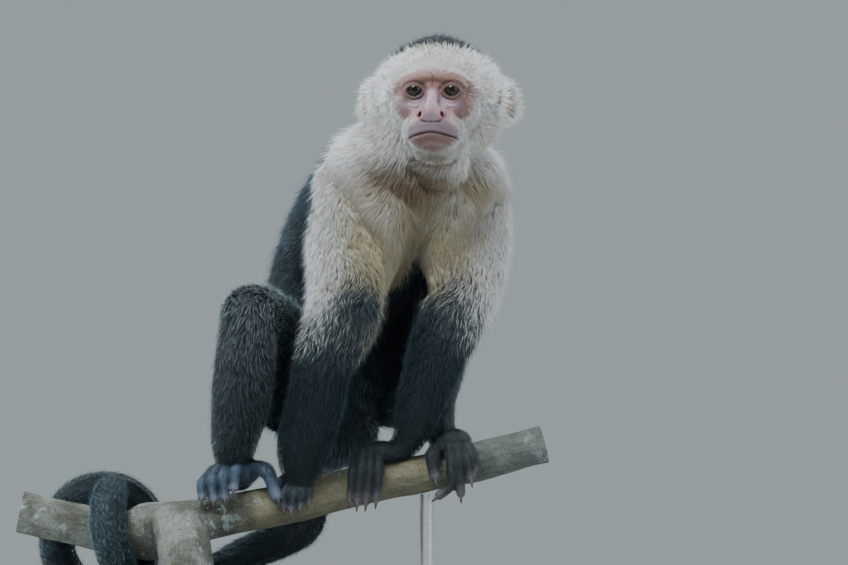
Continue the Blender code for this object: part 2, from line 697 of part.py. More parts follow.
def build():
    clear_scene()
    perch = make_perch()
    form = make_head_form()
    head = carve_head(form)
    form.data.transform(head_place())
    eyes = make_eyes()
    ears = make_ears()
    cut_clear(head, *ears)

    hands = {side: cut_clear(make_extremity("hand_" + side, plan, "hand"), perch)
             for side, plan in (("right", HAND_RIGHT), ("left", HAND_LEFT))}
    feet = {side: cut_clear(make_extremity("foot_" + side, plan, "foot"), perch, hands[side])
            for side, plan in (("right", FOOT_RIGHT), ("left", FOOT_LEFT))}

    arms = {side: make_limb("arm_" + side, stations, "arm", perch, hands[side], feet[side])
            for side, stations in (("right", ARM_RIGHT), ("left", ARM_LEFT))}
    legs = {side: make_limb("leg_" + side, stations, "leg", perch, feet[side], hands[side], arms[side])
            for side, stations in (("right", LEG_RIGHT), ("left", LEG_LEFT))}
    cut_clear(legs["left"], legs["right"])
    tail = cut_clear(fused("tail", [tube("tail", TAIL, sides=16)], "tail"), perch)

    trunk = make_trunk(form, *ears, *arms.values(), *legs.values(), tail)
    drop(form)

    finish([perch], "bark")
    finish([head, *ears], "white_coat")
    finish(eyes, "eye")
    finish(trunk[:2], "black_coat")
    finish(trunk[2:], "white_coat")
    for side, stations in (("right", ARM_RIGHT), ("left", ARM_LEFT)):
        upper, fore = parted(arms[side], ("upper_arm_" + side, "forearm_" + side), stations, ELBOW_CUT)
        finish([upper], "white_coat")
        finish([fore], "black_coat")
        finish([hands[side], feet[side]], "hand_skin")
    for side, stations in (("right", LEG_RIGHT), ("left", LEG_LEFT)):
        finish(parted(legs[side], ("thigh_" + side, "shin_" + side), stations, KNEE_CUT, reach=5.0),
               "black_coat")
    names = ["tail_%d" % (i + 1) for i in range(len(TAIL_CUTS) + 1)]
    finish(parted(tail, names, TAIL, TAIL_CUTS), "black_coat")
    finish([make_base()], "stand_paint")
    for name, foot in zip(("stand_rod_left", "stand_rod_right"), ROD_FEET):
        finish([make_rod(name, foot, perch)], "steel")


build()
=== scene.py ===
# %% [markdown]
# # A white-faced capuchin on a cut branch
# The real thing is a museum-style mount: one animal, its skin covered with fur, on a branch that a
# plain stand carries. The imported solids give every place and size and reach out to the tips of
# the coat. This lesson makes the looks on them: a bare skin that lies inside the solids by the
# depth of the coat, then the fur as thousands of thin closed tufts, then eyes, claws, bark, stand.
# First the frame is loaded.
# %% The frame
import json
import math

import bpy
import numpy as np
from mathutils import Matrix, Vector, noise
from mathutils.kdtree import KDTree

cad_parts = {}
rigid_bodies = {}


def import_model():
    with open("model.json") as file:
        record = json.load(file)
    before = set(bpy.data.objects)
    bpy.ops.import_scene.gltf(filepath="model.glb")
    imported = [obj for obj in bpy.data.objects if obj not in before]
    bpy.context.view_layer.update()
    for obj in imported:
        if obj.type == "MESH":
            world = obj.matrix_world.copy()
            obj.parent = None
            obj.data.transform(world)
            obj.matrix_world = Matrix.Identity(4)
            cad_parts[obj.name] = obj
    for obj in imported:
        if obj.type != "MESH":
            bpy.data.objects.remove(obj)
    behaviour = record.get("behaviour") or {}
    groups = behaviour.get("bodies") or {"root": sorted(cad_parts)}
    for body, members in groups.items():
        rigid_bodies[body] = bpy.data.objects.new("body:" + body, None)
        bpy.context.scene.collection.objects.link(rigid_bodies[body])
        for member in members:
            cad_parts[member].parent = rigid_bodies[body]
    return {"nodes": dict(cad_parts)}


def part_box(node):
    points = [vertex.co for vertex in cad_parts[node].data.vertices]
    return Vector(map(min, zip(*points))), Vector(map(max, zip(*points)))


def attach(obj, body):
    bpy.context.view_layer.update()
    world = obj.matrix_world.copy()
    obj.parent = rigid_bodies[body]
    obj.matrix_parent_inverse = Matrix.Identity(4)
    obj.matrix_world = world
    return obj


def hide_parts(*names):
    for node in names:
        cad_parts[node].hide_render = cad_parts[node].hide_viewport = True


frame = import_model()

bpy.context.view_layer.update()


# %% [markdown]
# Everything on the head is easier to place in the head's own frame: x to the monkey's left, y to
# the back, z up. The two eyes give it. Their middle and the line between them fix where the head is
# and how far it is turned, so if the solids were moved, the face would follow.
# %% The head's own frame
EYE_IN_HEAD = Vector((0.013, -0.0388, 0.0004))
EYE_RADIUS = 0.0088
EYES_OVER_HEAD = Vector((0, 0, 0.001))  # the solid eyes sit this much higher than the eyes of the skin


def middle(node):
    """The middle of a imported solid's box."""
    low, high = (Vector(corner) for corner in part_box(node))
    return (low + high) / 2


eye_gap = middle("eye_left") - middle("eye_right")
head_turn = math.atan2(eye_gap.y, eye_gap.x)
HEAD = (Matrix.Translation((middle("eye_left") + middle("eye_right")) / 2 - EYES_OVER_HEAD)
        @ Matrix.Rotation(head_turn, 4, "Z")
        @ Matrix.Translation((0, -EYE_IN_HEAD.y, -EYE_IN_HEAD.z)))
HEAD_MATRIX = np.array(HEAD)
print("head turned", round(math.degrees(head_turn), 2), "degrees, centre",
      tuple(round(c, 4) for c in HEAD.translation))


def to_head(points):
    """World points in the head's own frame."""
    inverse = np.linalg.inv(HEAD_MATRIX)
    return points @ inverse[:3, :3].T + inverse[:3, 3]


# %% [markdown]
# The body is a set of chains. Each chain is a list of stations from the trunk outwards: x, y, z and
# the radius out to the tips of the coat, the same stations that the solids were turned from. The
# second number list of a chain is the depth of its coat, from its start to its end, so flesh is
# radius minus depth. The same chains later tell the fur which way is "down the limb". Millimetres
# are easier to read in such lists, so they are turned into metres as they are read.
# %% The chains
def metres(*values):
    """Numbers in millimetres, in tuples of any depth, as metres."""
    return tuple(metres(*value) if isinstance(value, tuple) else value / 1000 for value in values)


CHAINS = {
    "trunk": metres(
        ((72, -15, 396, 36), (64, -8, 380, 40), (54, 6, 360, 44), (43, 25, 340, 52), (31, 44, 314, 58),
         (15, 69, 281, 57.5), (5, 87, 245, 55.5), (0, 92, 207, 52.5), (-2, 100, 176, 41)),
        (9, 9, 9, 8)),
    "arm_right": metres(
        ((12, 14, 332, 30), (11, -6, 300, 30.5), (12, -26, 268, 30), (7.5, -36, 242, 28),
         (-4.2, -33, 214, 23.2), (-10, -28, 187, 22.2), (-16.5, -21, 163, 21), (-20, -16, 146, 17.5),
         (-20.8, -13, 136, 12.5)),
        (9, 8.5, 6, 4.5, 1.5)),
    "arm_left": metres(
        ((101, 46, 330, 27.5), (101, 30, 303, 28.5), (97, 12, 275, 28), (87.5, -4, 248, 26),
         (77, -8, 225, 23.5), (68.5, -9, 200, 20.5), (61, -9, 178, 17), (56, -6, 162, 13),
         (50, -5, 155, 10.5)),
        (9, 8.5, 6, 4.5, 1.5)),
    "leg_right": metres(
        ((-24, 76, 200, 41), (-38, 30, 222, 36), (-50, -14, 241, 28), (-55, -40, 246.5, 22.5),
         (-57.8, -38, 230, 22.2), (-60, -28, 205, 23.2), (-63, -18, 181, 21.8), (-66.8, -8, 160, 17.5),
         (-67.2, -2, 147.5, 14.5)),
        (8, 5.5, 4.5, 4.5, 2)),
    "leg_left": metres(
        ((39, 93, 203, 38.5), (60, 74, 232, 34), (75.5, 55, 254, 26.5), (79, 43, 260, 23.5),
         (78, 35, 240, 21.8), (76.5, 27, 213, 20), (74, 18, 190, 16), (75.5, 9, 172, 13),
         (78, 3, 164, 12)),
        (8, 5.5, 4.5, 4, 2)),
    "tail": metres(
        ((-4, 133, 200, 16.5), (-10, 147, 166, 16.5), (-14, 131, 127, 15.5), (-18, 93, 101, 15),
         (-34, 56, 90, 14.8), (-60, 38, 79, 14.5), (-94.5, 34, 60, 14), (-136.5, 31, 48, 13.8),
         (-171.5, 31, 55, 13.8), (-190.5, 32, 78, 14.5), (-188.5, 32, 104.5, 15.2),
         (-174.5, 32, 119.5, 16.2), (-153, 32, 123, 16.4), (-134, 32, 114, 15), (-126, 30, 98, 12.4),
         (-129, 18, 78, 12), (-138.5, -4, 64, 12.6), (-148, -26, 73, 13.8), (-154, -32.5, 94, 15),
         (-155, -26.5, 113.5, 14.6), (-153, -8, 125, 12.8), (-150, 5.5, 126, 9.8)),
        (5.5, 5, 4.5, 4.5, 4)),
}
YOKE = metres((14, 20, 334, 30), (36, 16, 348, 31), (58, 18, 354, 32), (82, 30, 350, 30),
              (100, 44, 337, 27))
YOKE_DEPTH = metres(9)
# the folds of skin from the shoulders to the elbows, which join the arms to the chest; radii of flesh
FOLDS = metres(((26, 8, 345, 24), (33, -1, 322, 24.5), (30, -5, 298, 22.5), (25, -12, 274, 16.5)),
               ((98, 34, 340, 22), (87, 22, 322, 23), (83, 13, 298, 20), (82, 3, 274, 13)))
print("stations:", {name: len(rows) for name, (rows, _) in CHAINS.items()})


# %% [markdown]
# A hand or a foot is a palm and a heel, each with a centre and three radii, and five digits, each with
# its points and its radius. They are lists given one by one, because every digit grips the bark its own
# way.
# %% Stations of the hands and feet
PAWS = {
    "foot_right": metres(
        ((-65, -1, 138.5), (16.5, 14, 11)), ((-64, 13, 133), (10.5, 10.5, 9)),
        ((((-63, -6, 144), (-65.5, -18, 138), (-67, -21.5, 127)), 4.2),
         (((-70, -6, 143), (-74.2, -19.5, 133.5), (-73.5, -21, 120.5)), 4.2),
         (((-76, -5, 141.5), (-82, -19, 131.5), (-81.5, -20.8, 119)), 4.1),
         (((-81, -3, 139), (-89.3, -16.5, 129), (-89.5, -19.8, 120.5)), 3.9),
         (((-57, -5, 141), (-44.5, -16.5, 138), (-37.5, -20.5, 121.5)), 5.6))),
    "foot_left": metres(
        ((85, -1, 159), (13.5, 13, 9)), ((80, 12, 156), (9.5, 10, 8.5)),
        ((((83, -10, 157.5), (85, -20.5, 143), (85, -20.5, 129), (76.5, -19.5, 121.5)), 4.2),
         (((88.5, -10, 157.5), (90.5, -21, 144), (91.5, -20, 123)), 4.1),
         (((93.5, -8, 157), (96.5, -19.5, 147), (98.5, -20.5, 134)), 4.1),
         (((96.5, -5, 156), (100.5, -15.5, 148), (100.8, -18.5, 140)), 3.7),
         (((76.5, -6, 156), (71.5, -18, 148), (73.5, -20.3, 135)), 5.2))),
    "hand_right": metres(
        ((-22.2, -13, 132.5), (10.8, 8.3, 8.8)), ((-20, -5, 136), (8.8, 7.8, 7.3)),
        ((((-22.5, -15.5, 132), (-25.5, -21, 121.5), (-26.8, -20.5, 112)), 3.7),
         (((-27, -14, 131.5), (-31.5, -19, 122), (-32, -18.5, 114)), 3.6),
         (((-18.5, -15.5, 131), (-19.5, -20.5, 123), (-20.8, -20, 115)), 3.6),
         (((-15, -14, 131), (-14.5, -19, 124.5), (-15, -19, 118)), 3.3),
         (((-27, -7, 135), (-34, -11, 131), (-38.5, -15, 124)), 3.6))),
    "hand_left": metres(
        ((38, -6, 151.5), (16, 10, 7.6)), ((50, -3, 153), (8.8, 8.8, 7.8)),
        ((((33.5, -11, 152), (34.5, -20.5, 138.5), (32.5, -19.2, 119)), 3.7),
         (((28.5, -11.5, 153), (28, -21, 139.5), (25.5, -19.2, 117.2)), 3.7),
         (((23.5, -11, 152.5), (21.5, -20, 138.5), (19.3, -18.8, 117.2)), 3.6),
         (((19, -9.5, 150), (15.5, -18, 136.5), (14.3, -17.5, 120)), 3.3),
         (((44, 2, 150), (37, 10, 147.5), (29, 13.5, 143)), 3.6))),
}
print("digits:", {name: len(digits) for name, (_, _, digits) in PAWS.items()})


# %% [markdown]
# A smooth curve through a few stations gives the many stations that a round limb needs. The depth of
# the coat is then taken off every radius. The boxes of the solids tell whether the lists still fit.
# %% Curves through the stations
def smooth_path(rows, steps=4):
    """A curve through rows of numbers, with this many steps between two rows."""
    rows = np.array(rows, float)
    ends = np.vstack([2 * rows[0] - rows[1], rows, 2 * rows[-1] - rows[-2]])
    t = (np.arange(steps) / steps)[:, None]
    parts = []
    for p0, p1, p2, p3 in zip(ends, ends[1:], ends[2:], ends[3:]):
        parts.append(0.5 * (2 * p1 + (p2 - p0) * t + (2 * p0 - 5 * p1 + 4 * p2 - p3) * t * t
                            + (3 * p1 - p0 - 3 * p2 + p3) * t**3))
    return np.vstack([*parts, rows[-1:]])


def spread(values, count):
    """The values, read evenly from first to last, as this many numbers."""
    return np.interp(np.linspace(0, 1, count), np.linspace(0, 1, len(values)), values)


def inside(rows, depth):
    """Stations whose radius is less by the coat's depth."""
    rows = np.array(rows, float)
    rows[:, 3] -= spread(depth, len(rows))
    return rows


for name, node in (("arm_right", "upper_arm_right"), ("leg_left", "thigh_left"), ("tail", "tail_1")):
    low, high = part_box(node)
    start = CHAINS[name][0][1]
    print(name, "starts in", node, all(low[i] <= start[i] <= high[i] for i in range(3)))


# %% [markdown]
# A limb is modelled as by hand: a curve through its stations with a round bevel, turned into a mesh,
# with a ball at each end. The pieces of one body are joined and voxel remeshed, which melts them
# into one closed skin as clay would be pressed together, and then smoothed. Only what is selected
# is changed by an operator, so each step starts by taking hold of one object alone.
# %% Limbs, balls and melting them together
def take(*objects):
    """Makes these objects the only selected ones, the first of them active."""
    bpy.ops.object.select_all(action="DESELECT")
    for obj in objects:
        obj.select_set(True)
    bpy.context.view_layer.objects.active = objects[0] if objects else None


def apply_modifiers(obj):
    """Applies an object's modifiers, from first to last."""
    take(obj)
    for modifier in list(obj.modifiers):
        bpy.ops.object.modifier_apply(modifier=modifier.name)
    return obj


def ball(centre, radii, turn=0.0, segments=32, rings=20):
    """A ball with three radii, turned round the upright axis."""
    bpy.ops.object.select_all(action="DESELECT")
    bpy.ops.mesh.primitive_uv_sphere_add(segments=segments, ring_count=rings, radius=1.0,
                                         location=centre, rotation=(0, 0, turn), scale=radii)
    bpy.ops.object.transform_apply(location=True, rotation=True, scale=True)
    return bpy.context.object


def placed(name, data):
    """A new object in the scene."""
    made = bpy.data.objects.new(name, data)
    bpy.context.collection.objects.link(made)
    return made


def limb(stations, steps=4):
    """A round body through stations of x, y, z and radius, as pieces that still overlap."""
    rows = smooth_path(stations, steps)
    line = bpy.data.curves.new("limb", "CURVE")
    line.dimensions = "3D"
    line.bevel_depth = 1.0
    line.bevel_resolution = 5
    line.use_fill_caps = True
    spline = line.splines.new("POLY")
    spline.points.add(len(rows) - 1)
    spline.points.foreach_set("co", np.hstack([rows[:, :3], np.ones((len(rows), 1))]).ravel())
    spline.points.foreach_set("radius", rows[:, 3])
    body = placed("limb", line)
    take(body)
    bpy.ops.object.convert(target="MESH")
    return [body, *(ball(row[:3], (row[3],) * 3, segments=20, rings=12) for row in (rows[0], rows[-1]))]


def melted(name, pieces, voxel, rounds):
    """One closed body from overlapping pieces."""
    take(*pieces)
    body = pieces[0]
    bpy.ops.object.join()
    body.name = name
    remesh = body.modifiers.new("Melt", "REMESH")
    remesh.mode = "VOXEL"
    remesh.voxel_size = voxel
    smooth = body.modifiers.new("Smooth", "SMOOTH")
    smooth.factor = 0.5
    smooth.iterations = rounds
    return apply_modifiers(body)


def points_of(mesh):
    """The places of a mesh's points, as rows."""
    out = np.empty(len(mesh.vertices) * 3)
    mesh.vertices.foreach_get("co", out)
    return out.reshape(-1, 3)


def normals_of(mesh):
    """The normals at a mesh's points, as rows."""
    out = np.empty(len(mesh.vertices) * 3, np.float32)
    mesh.vertex_normals.foreach_get("vector", out)
    return out.reshape(-1, 3).astype(float)


def set_points(mesh, points):
    """Moves a mesh's points to these places."""
    mesh.vertices.foreach_set("co", np.ascontiguousarray(points, np.float32).ravel())
    mesh.update()


def in_mm(values, shares=(2, 50, 98)):
    """Low, middle and high values, in millimetres, for printing."""
    return (np.percentile(values, shares) * 1000).round(2)


body_pieces = []
for stations, depth in CHAINS.values():
    body_pieces += limb(inside(stations, depth))
body_pieces += limb(inside(YOKE, YOKE_DEPTH))
for stations in FOLDS:
    body_pieces += limb(stations)
BODY_VOXEL, PAW_VOXEL, HEAD_VOXEL = 0.003, 0.0011, 0.0015
body_flesh = melted("body_flesh", body_pieces, BODY_VOXEL, 3)
print("body:", len(body_flesh.data.polygons), "faces")


# %% [markdown]
# A hand or a foot is a palm, a heel and five digits. Each digit swells at its middle joint and at
# its pad. The voxels are finer than the body's, so the creases between the digits stay open.
# %% Hands and feet
KNUCKLE_SWELL = 0.13
DIGIT_INSIDE = 0.00015  # how far the skin lies inside the solid digit


def digit_rows(points, radius):
    """Finely spaced stations along a digit, thinner between its joints."""
    rows = smooth_path([(*point, radius) for point in points], 8)
    t = np.linspace(0, 1, len(rows))
    knuckle, pad = np.exp(-((t - 0.48) / 0.1) ** 2), np.exp(-((t - 0.97) / 0.12) ** 2)
    rows[:, 3] = (radius - DIGIT_INSIDE) * (1.06 - 0.24 * t + KNUCKLE_SWELL * (knuckle + 0.7 * pad) - 0.05)
    return rows


paw_flesh = {}
for name, (palm, heel, digits) in PAWS.items():
    pieces = [ball(*palm), ball(*heel)]
    for points, radius in digits:
        pieces += limb(digit_rows(points, radius), 1)
    paw_flesh[name] = melted(name + "_flesh", pieces, PAW_VOXEL, 2)
    print(name, len(paw_flesh[name].data.polygons), "faces")


# %% [markdown]
# The head gets the most care. Its form is pressed together from a skull, a broad neck ruff, the flat
# front of the face, muzzle, jaw, brow, nose and cheeks, in the head's own frame and less the depth of
# the fur. Only the bare face is then made finer, so the triangles go where the detail is.
# %% The head's form
BROW = metres((-29, -23, 2, 4.8), (-22.2, -33.8, 8, 4.4), (-12.5, -40.8, 10.8, 5.2), (0, -42.2, 10.3, 5),
              (12.5, -40.8, 10.8, 5.2), (22.2, -33.8, 8, 4.4), (29, -23, 2, 4.8))
NOSE = metres((0, -43, 6, 3.6), (0, -50.5, -5, 4.4), (0, -57.5, -12.5, 5.6))
# the bare face: the middles and half-widths of its ovals, seen from the front
FACE_OVALS = metres(((0, 1), (28, 14)), ((0, -8.5), (27.2, 15)), ((0, -26.2), (19.6, 15)))
EAR, EAR_HALF = (0.0455, 0.004, -0.006), (0.0112, 0.014)
HEAD_BALLS = metres(  # centre and radii
    ((0, 3, 1.5), (41, 41, 34.5)),  # skull
    ((0, 3, -15), (39, 29, 27)),  # neck ruff
    ((0, -20, -1), (29.5, 26.2, 24)),  # flat front of the face
    ((0, -41.5, -23.2), (18.4, 22.2, 14)),  # muzzle
    ((0, -39.8, -31.2), (17.2, 18.8, 10.4)),  # jaw
    ((0, -21.5, 8), (25, 23.2, 19.5)),  # brow
    ((0, -60.2, -16.2), (6, 4.2, 4.2)),  # tip of the nose
    ((0, -20, -36), (18, 25, 10)),  # floor of the mouth
    ((0, -8, -42.5), (19.5, 15, 12.5)),  # throat
    ((0, 3, -50), (18, 15, 13)),  # root of the throat
    ((0, -19, -8), (29, 22.5, 24)),  # cheekbones
)
PAIRED_BALLS = (  # the left one's centre, its radii and its turn
    (*metres((7.5, -59, -15), (4, 5, 4.2)), 0),  # wing of the nose
    (*metres((17, -29, -11), (12.2, 11, 13.2)), 0),  # cheek
    (*metres((10, -40, -10), (9, 8.2, 7)), 0),  # beside the nose
    (*metres((13, -34.5, -27), (8.5, 12, 10.5)), 0),  # side of the muzzle
    (EYE_IN_HEAD[:], metres(10, 10, 10), 0),  # lids over the eye
    (EAR, (0.0026, *EAR_HALF), -0.52),  # ear
    (*metres((42, 0, -7), (5, 7, 8)), 0),  # root of the ear
)

head_pieces = [ball(centre, radii) for centre, radii in HEAD_BALLS]
head_pieces += limb(BROW) + limb(NOSE)
for side in (-1, 1):
    for (x, y, z), radii, turn in PAIRED_BALLS:
        head_pieces.append(ball((side * x, y, z), radii, side * turn))
head_flesh = melted("head_flesh", head_pieces, HEAD_VOXEL, 8)
print("head:", len(head_flesh.data.polygons), "faces")


def smoothstep(low, high, value):
    """0 at low, 1 at high, with a soft start and end; low may be the larger one."""
    t = np.clip((value - low) / (high - low), 0, 1)
    return t * t * (3 - 2 * t)


def face_gap(local):
    """How far a point in the head's frame lies outside the bare face, seen from the front."""
    x, y, z = local.T
    gaps = []
    for (cx, cz), (rx, rz) in FACE_OVALS:
        q = np.hypot((x - cx) / rx, (z - cz) / rz)
        gaps.append((q - 1) * min(rx, rz))
    side_limit = 0.02 + 0.012 * smoothstep(-0.018, -0.024, z)
    return np.maximum(np.min(gaps, axis=0), (y + side_limit) * 1.5)


take(head_flesh)
fine = face_gap(points_of(head_flesh.data)) < 0.0008
bpy.ops.object.mode_set(mode="EDIT")
bpy.ops.mesh.select_mode(type="VERT")
bpy.ops.mesh.select_all(action="DESELECT")
bpy.ops.object.mode_set(mode="OBJECT")
head_flesh.data.vertices.foreach_set("select", fine)
bpy.ops.object.mode_set(mode="EDIT")
bpy.ops.mesh.select_mode(type="VERT")
bpy.ops.mesh.subdivide(number_cuts=2)
bpy.ops.mesh.vertices_smooth(factor=0.5, repeat=5)
bpy.ops.object.mode_set(mode="OBJECT")
print("head with a fine face:", len(head_flesh.data.polygons), "faces")


# %% [markdown]
# The face is carved as a sculptor does it, with dents and swells. Each is a small formula of the
# place seen from the front, in metres: a groove along the mouth, rolls of lip above and below it, two
# sideways nostrils with their rims, a furrow between the brows, creases round the lids. Points move
# along the skin's normal. The lids are cut by pulling the points inside an almond outline back behind
# the eyeball, after the nearest points have been moved onto the outline, so its edge is clean.
# %% Carving the face
LID_WIDTH, LID_ABOVE, LID_BELOW, LID_POWER = 0.0058, 0.004, 0.004, 1.75
NOSTRIL, NOSTRIL_SLANT, NOSTRIL_HALF_WIDE = (0.0078, -0.0158), (0.97, 0.24), 0.0012


def mouth_line(x):
    """The height of the closed mouth, turned down at its corners."""
    return -0.0281 - 0.0045 * (np.abs(x) / 0.0175) ** 1.6


def hump(value, width):
    """1 where the value is 0, fading out over this width on both sides."""
    return np.exp(-((value / width) ** 2))


def lid_gap(u, v):
    """Distance outside the opening between the lids, at u across and v up from the eye's middle."""
    tall = np.where(v > 0, LID_ABOVE, LID_BELOW)
    a, b = np.abs(u) / LID_WIDTH, np.abs(v) / tall
    level = a**LID_POWER + b**LID_POWER - 1
    du = LID_POWER * a ** (LID_POWER - 1) / LID_WIDTH * np.sign(u)
    dv = LID_POWER * b ** (LID_POWER - 1) / tall * np.sign(v)
    slope = np.maximum(np.hypot(du, dv), 60.0)
    return level / slope, du / slope, dv / slope


def spot(across, up, half_wide, half_high):
    """An oval spot: 1 in its middle, fading out over its half-widths."""
    return hump(np.hypot(across / half_wide, up / half_high), 1.0)


def nostril_gap(ax, z, half_high):
    """1 on the slanting oval of a nostril, less inside it."""
    across, up = ax - NOSTRIL[0], z - NOSTRIL[1]
    lean = across * NOSTRIL_SLANT[0] + up * NOSTRIL_SLANT[1]
    rise = -across * NOSTRIL_SLANT[1] + up * NOSTRIL_SLANT[0]
    return np.hypot(lean / NOSTRIL_HALF_WIDE, rise / half_high)


print("mouth, mm, at its middle and its corner:", [round(mouth_line(x) * 1000, 1) for x in (0, 0.0175)])


# %% The relief of the face
def face_relief(x, z):
    """How far the bare skin stands out at this place, in metres."""
    ax = np.abs(x)
    out = np.zeros(len(x))
    # the mouth, its lips and corners
    dz = z - mouth_line(x)
    along = smoothstep(0.0188, 0.0165, ax)
    out -= 0.0018 * hump(dz, 0.0005) * along
    out += 0.0007 * hump(dz - 0.0019, 0.0014) * along
    out += 0.0011 * hump(dz + 0.0024, 0.002) * smoothstep(0.017, 0.007, ax)
    out -= 0.0008 * hump(np.hypot(ax - 0.0182, z + 0.0345), 0.0016)
    out -= 0.0008 * hump(z + 0.0375, 0.0012) * smoothstep(0.015, 0.006, ax)
    # the groove under the nose, and the fold from the nostril round the muzzle
    out -= 0.0005 * hump(x, 0.001) * smoothstep(-0.0275, -0.0215, z) * smoothstep(-0.0185, -0.021, z)
    fold = np.hypot(ax / 0.0172, (z + 0.03) / 0.015) - 1
    out -= 0.0009 * hump(fold, 0.07) * smoothstep(-0.024, -0.018, z) * smoothstep(0.006, 0.01, ax)
    # the nose: a broad flat septum, wings, sideways slits
    wing = np.hypot((ax - 0.0082) / 0.0034, (z - NOSTRIL[1]) / 0.004)
    out += 0.0006 * hump(wing - 1, 0.3) * smoothstep(-0.0215, -0.018, z)
    out -= 0.003 * smoothstep(1.15, 0.45, nostril_gap(ax, z, 0.0025))
    wings_edge = np.hypot(ax / 0.0118, (z + 0.014) / 0.0075) - 1
    out -= 0.0009 * hump(wings_edge, 0.09) * smoothstep(-0.004, -0.01, z)
    out -= 0.0004 * hump(x, 0.0011) * hump(z + 0.0165, 0.0045)
    out -= 0.0007 * hump(z + 0.0207, 0.0008) * smoothstep(0.0085, 0.006, ax)
    # brows: a furrow down the middle, and creases over the ridges
    out -= 0.0008 * hump(x, 0.0008) * smoothstep(0.002, 0.006, z) * smoothstep(0.015, 0.012, z)
    for place in (0.0028, 0.0052):
        bend = ax - place - 0.12 * (z - 0.008)
        on_brow = smoothstep(0.0035, 0.006, z)
        out -= 0.00025 * hump(bend, 0.0007) * on_brow * smoothstep(0.014, 0.011, z)
    out += 0.0008 * hump(z - 0.01 + 0.004 * (ax / 0.02) ** 2, 0.0026) * smoothstep(0.026, 0.02, ax)
    # creases over and under the lids
    u, v = ax - EYE_IN_HEAD.x, z - EYE_IN_HEAD.z
    gap = lid_gap(u, v)[0]
    out += 0.00035 * hump(gap - 0.0006, 0.0006)
    out -= 0.0007 * hump(gap - 0.0021, 0.00055) * smoothstep(-0.001, 0.002, v)
    out += 0.0006 * hump(gap - 0.0034, 0.0011) * smoothstep(-0.001, 0.002, v)
    under = smoothstep(0.0005, -0.002, v) * smoothstep(0.008, 0.003, np.abs(u + 0.001))
    for below, depth in ((0.0019, 0.0006), (0.0037, 0.0005), (0.0058, 0.0004)):
        out -= depth * hump(gap - below, 0.00045) * under
    # crow's feet
    away = np.hypot(u - 0.003, v)
    for angle in (-0.35, 0.0, 0.35, 0.7):
        turn = (np.arctan2(v, u - 0.003) - angle) * away
        ray = smoothstep(0.0045, 0.006, away) * smoothstep(0.0115, 0.009, away) * (u > 0)
        out -= 0.00018 * hump(turn, 0.0005) * ray
    return out


face_points = points_of(head_flesh.data)
face_normals = normals_of(head_flesh.data)
front = smoothstep(0.004, -0.001, face_gap(face_points)) * smoothstep(-0.018, -0.024, face_points[:, 1])
relief = face_relief(face_points[:, 0], face_points[:, 2]) * front
face_points += face_normals * relief[:, None]
print("relief of the face, mm:", in_mm(relief, (0, 50, 100)))

# %% Cutting the lids
LIDS_REACH, LID_OVER_EYE, BEHIND_LIDS = 0.0135, 0.0007, 0.0016
LID_SNAP, LID_EDGE, LID_FOLD = 0.00026, 0.00027, 0.004
for side in (-1, 1):
    centre = np.array((side * EYE_IN_HEAD.x, *EYE_IN_HEAD[1:]))
    near = (np.linalg.norm(face_points - centre, axis=1) < LIDS_REACH) & (face_points[:, 1] < centre[1])
    u, v = (face_points[near, 0] - centre[0]) * side, face_points[near, 2] - centre[2]
    gap, du, dv = lid_gap(u, v)
    pull = np.where(np.abs(gap) < LID_SNAP, gap, 0)
    moved = face_points[near]
    moved[:, 0] -= pull * du * side
    moved[:, 2] -= pull * dv
    ray = moved - centre
    length = np.linalg.norm(ray, axis=1)
    shut = np.maximum(length, EYE_RADIUS + LID_OVER_EYE)
    keep = np.where(gap < -LID_EDGE, EYE_RADIUS - BEHIND_LIDS, np.where(gap < LID_FOLD, shut, length))
    face_points[near] = centre + ray * (keep / length)[:, None]
set_points(head_flesh.data, face_points)
print("lids cut round eyes of", round(EYE_RADIUS * 1000, 1), "mm radius")


# %% [markdown]
# The ears are low round shells that stand out of the fur. Their dish is pressed in from the outer
# side: the deeper a point lies inside the rim's oval, the more it is pushed towards the skull.
# %% The ears' dishes
EAR_TURN = math.radians(30)


def ear_place(local):
    """Which side a point is on, and its place outwards, along and up in that ear's own frame."""
    side = np.where(local[:, 0] > 0, 1.0, -1.0)
    away = local - np.outer(side, (EAR[0], 0, 0)) - (0, *EAR[1:])
    out = np.cos(EAR_TURN) * away[:, 0] * side - np.sin(EAR_TURN) * away[:, 1]
    along = np.sin(EAR_TURN) * away[:, 0] * side + np.cos(EAR_TURN) * away[:, 1]
    return side, out, along, away[:, 2]


def dome(z):
    """How much narrower the round crown is than the skull at the ears, by height."""
    return np.interp(z, (0.004, 0.014, 0.021, 0.027, 0.034), (1.0, 0.935, 0.87, 0.82, 0.76))


ear_points = points_of(head_flesh.data)
side, out, along, up = ear_place(ear_points)
oval = np.hypot(along / EAR_HALF[0], up / EAR_HALF[1])
on_ear = (np.abs(out) < 0.007) & (oval < 1.15) & (np.abs(ear_points[:, 0]) > 0.0405)
rim = 0.0016 * hump(oval - 0.93, 0.16) - 0.003 * smoothstep(0.8, 0.35, oval) * (out > 0)
rim -= 0.0012 * hump(oval - 0.62, 0.1) * (up > -0.004) * (out > 0)
rim = np.where(on_ear, rim, 0)
ear_points[:, 0] += side * math.cos(EAR_TURN) * rim
ear_points[:, 1] -= math.sin(EAR_TURN) * rim
ear_points[:, 0] *= dome(ear_points[:, 2])
set_points(head_flesh.data, ear_points)
head_flesh.data.transform(HEAD)
print("points on the ears:", int(on_ear.sum()))


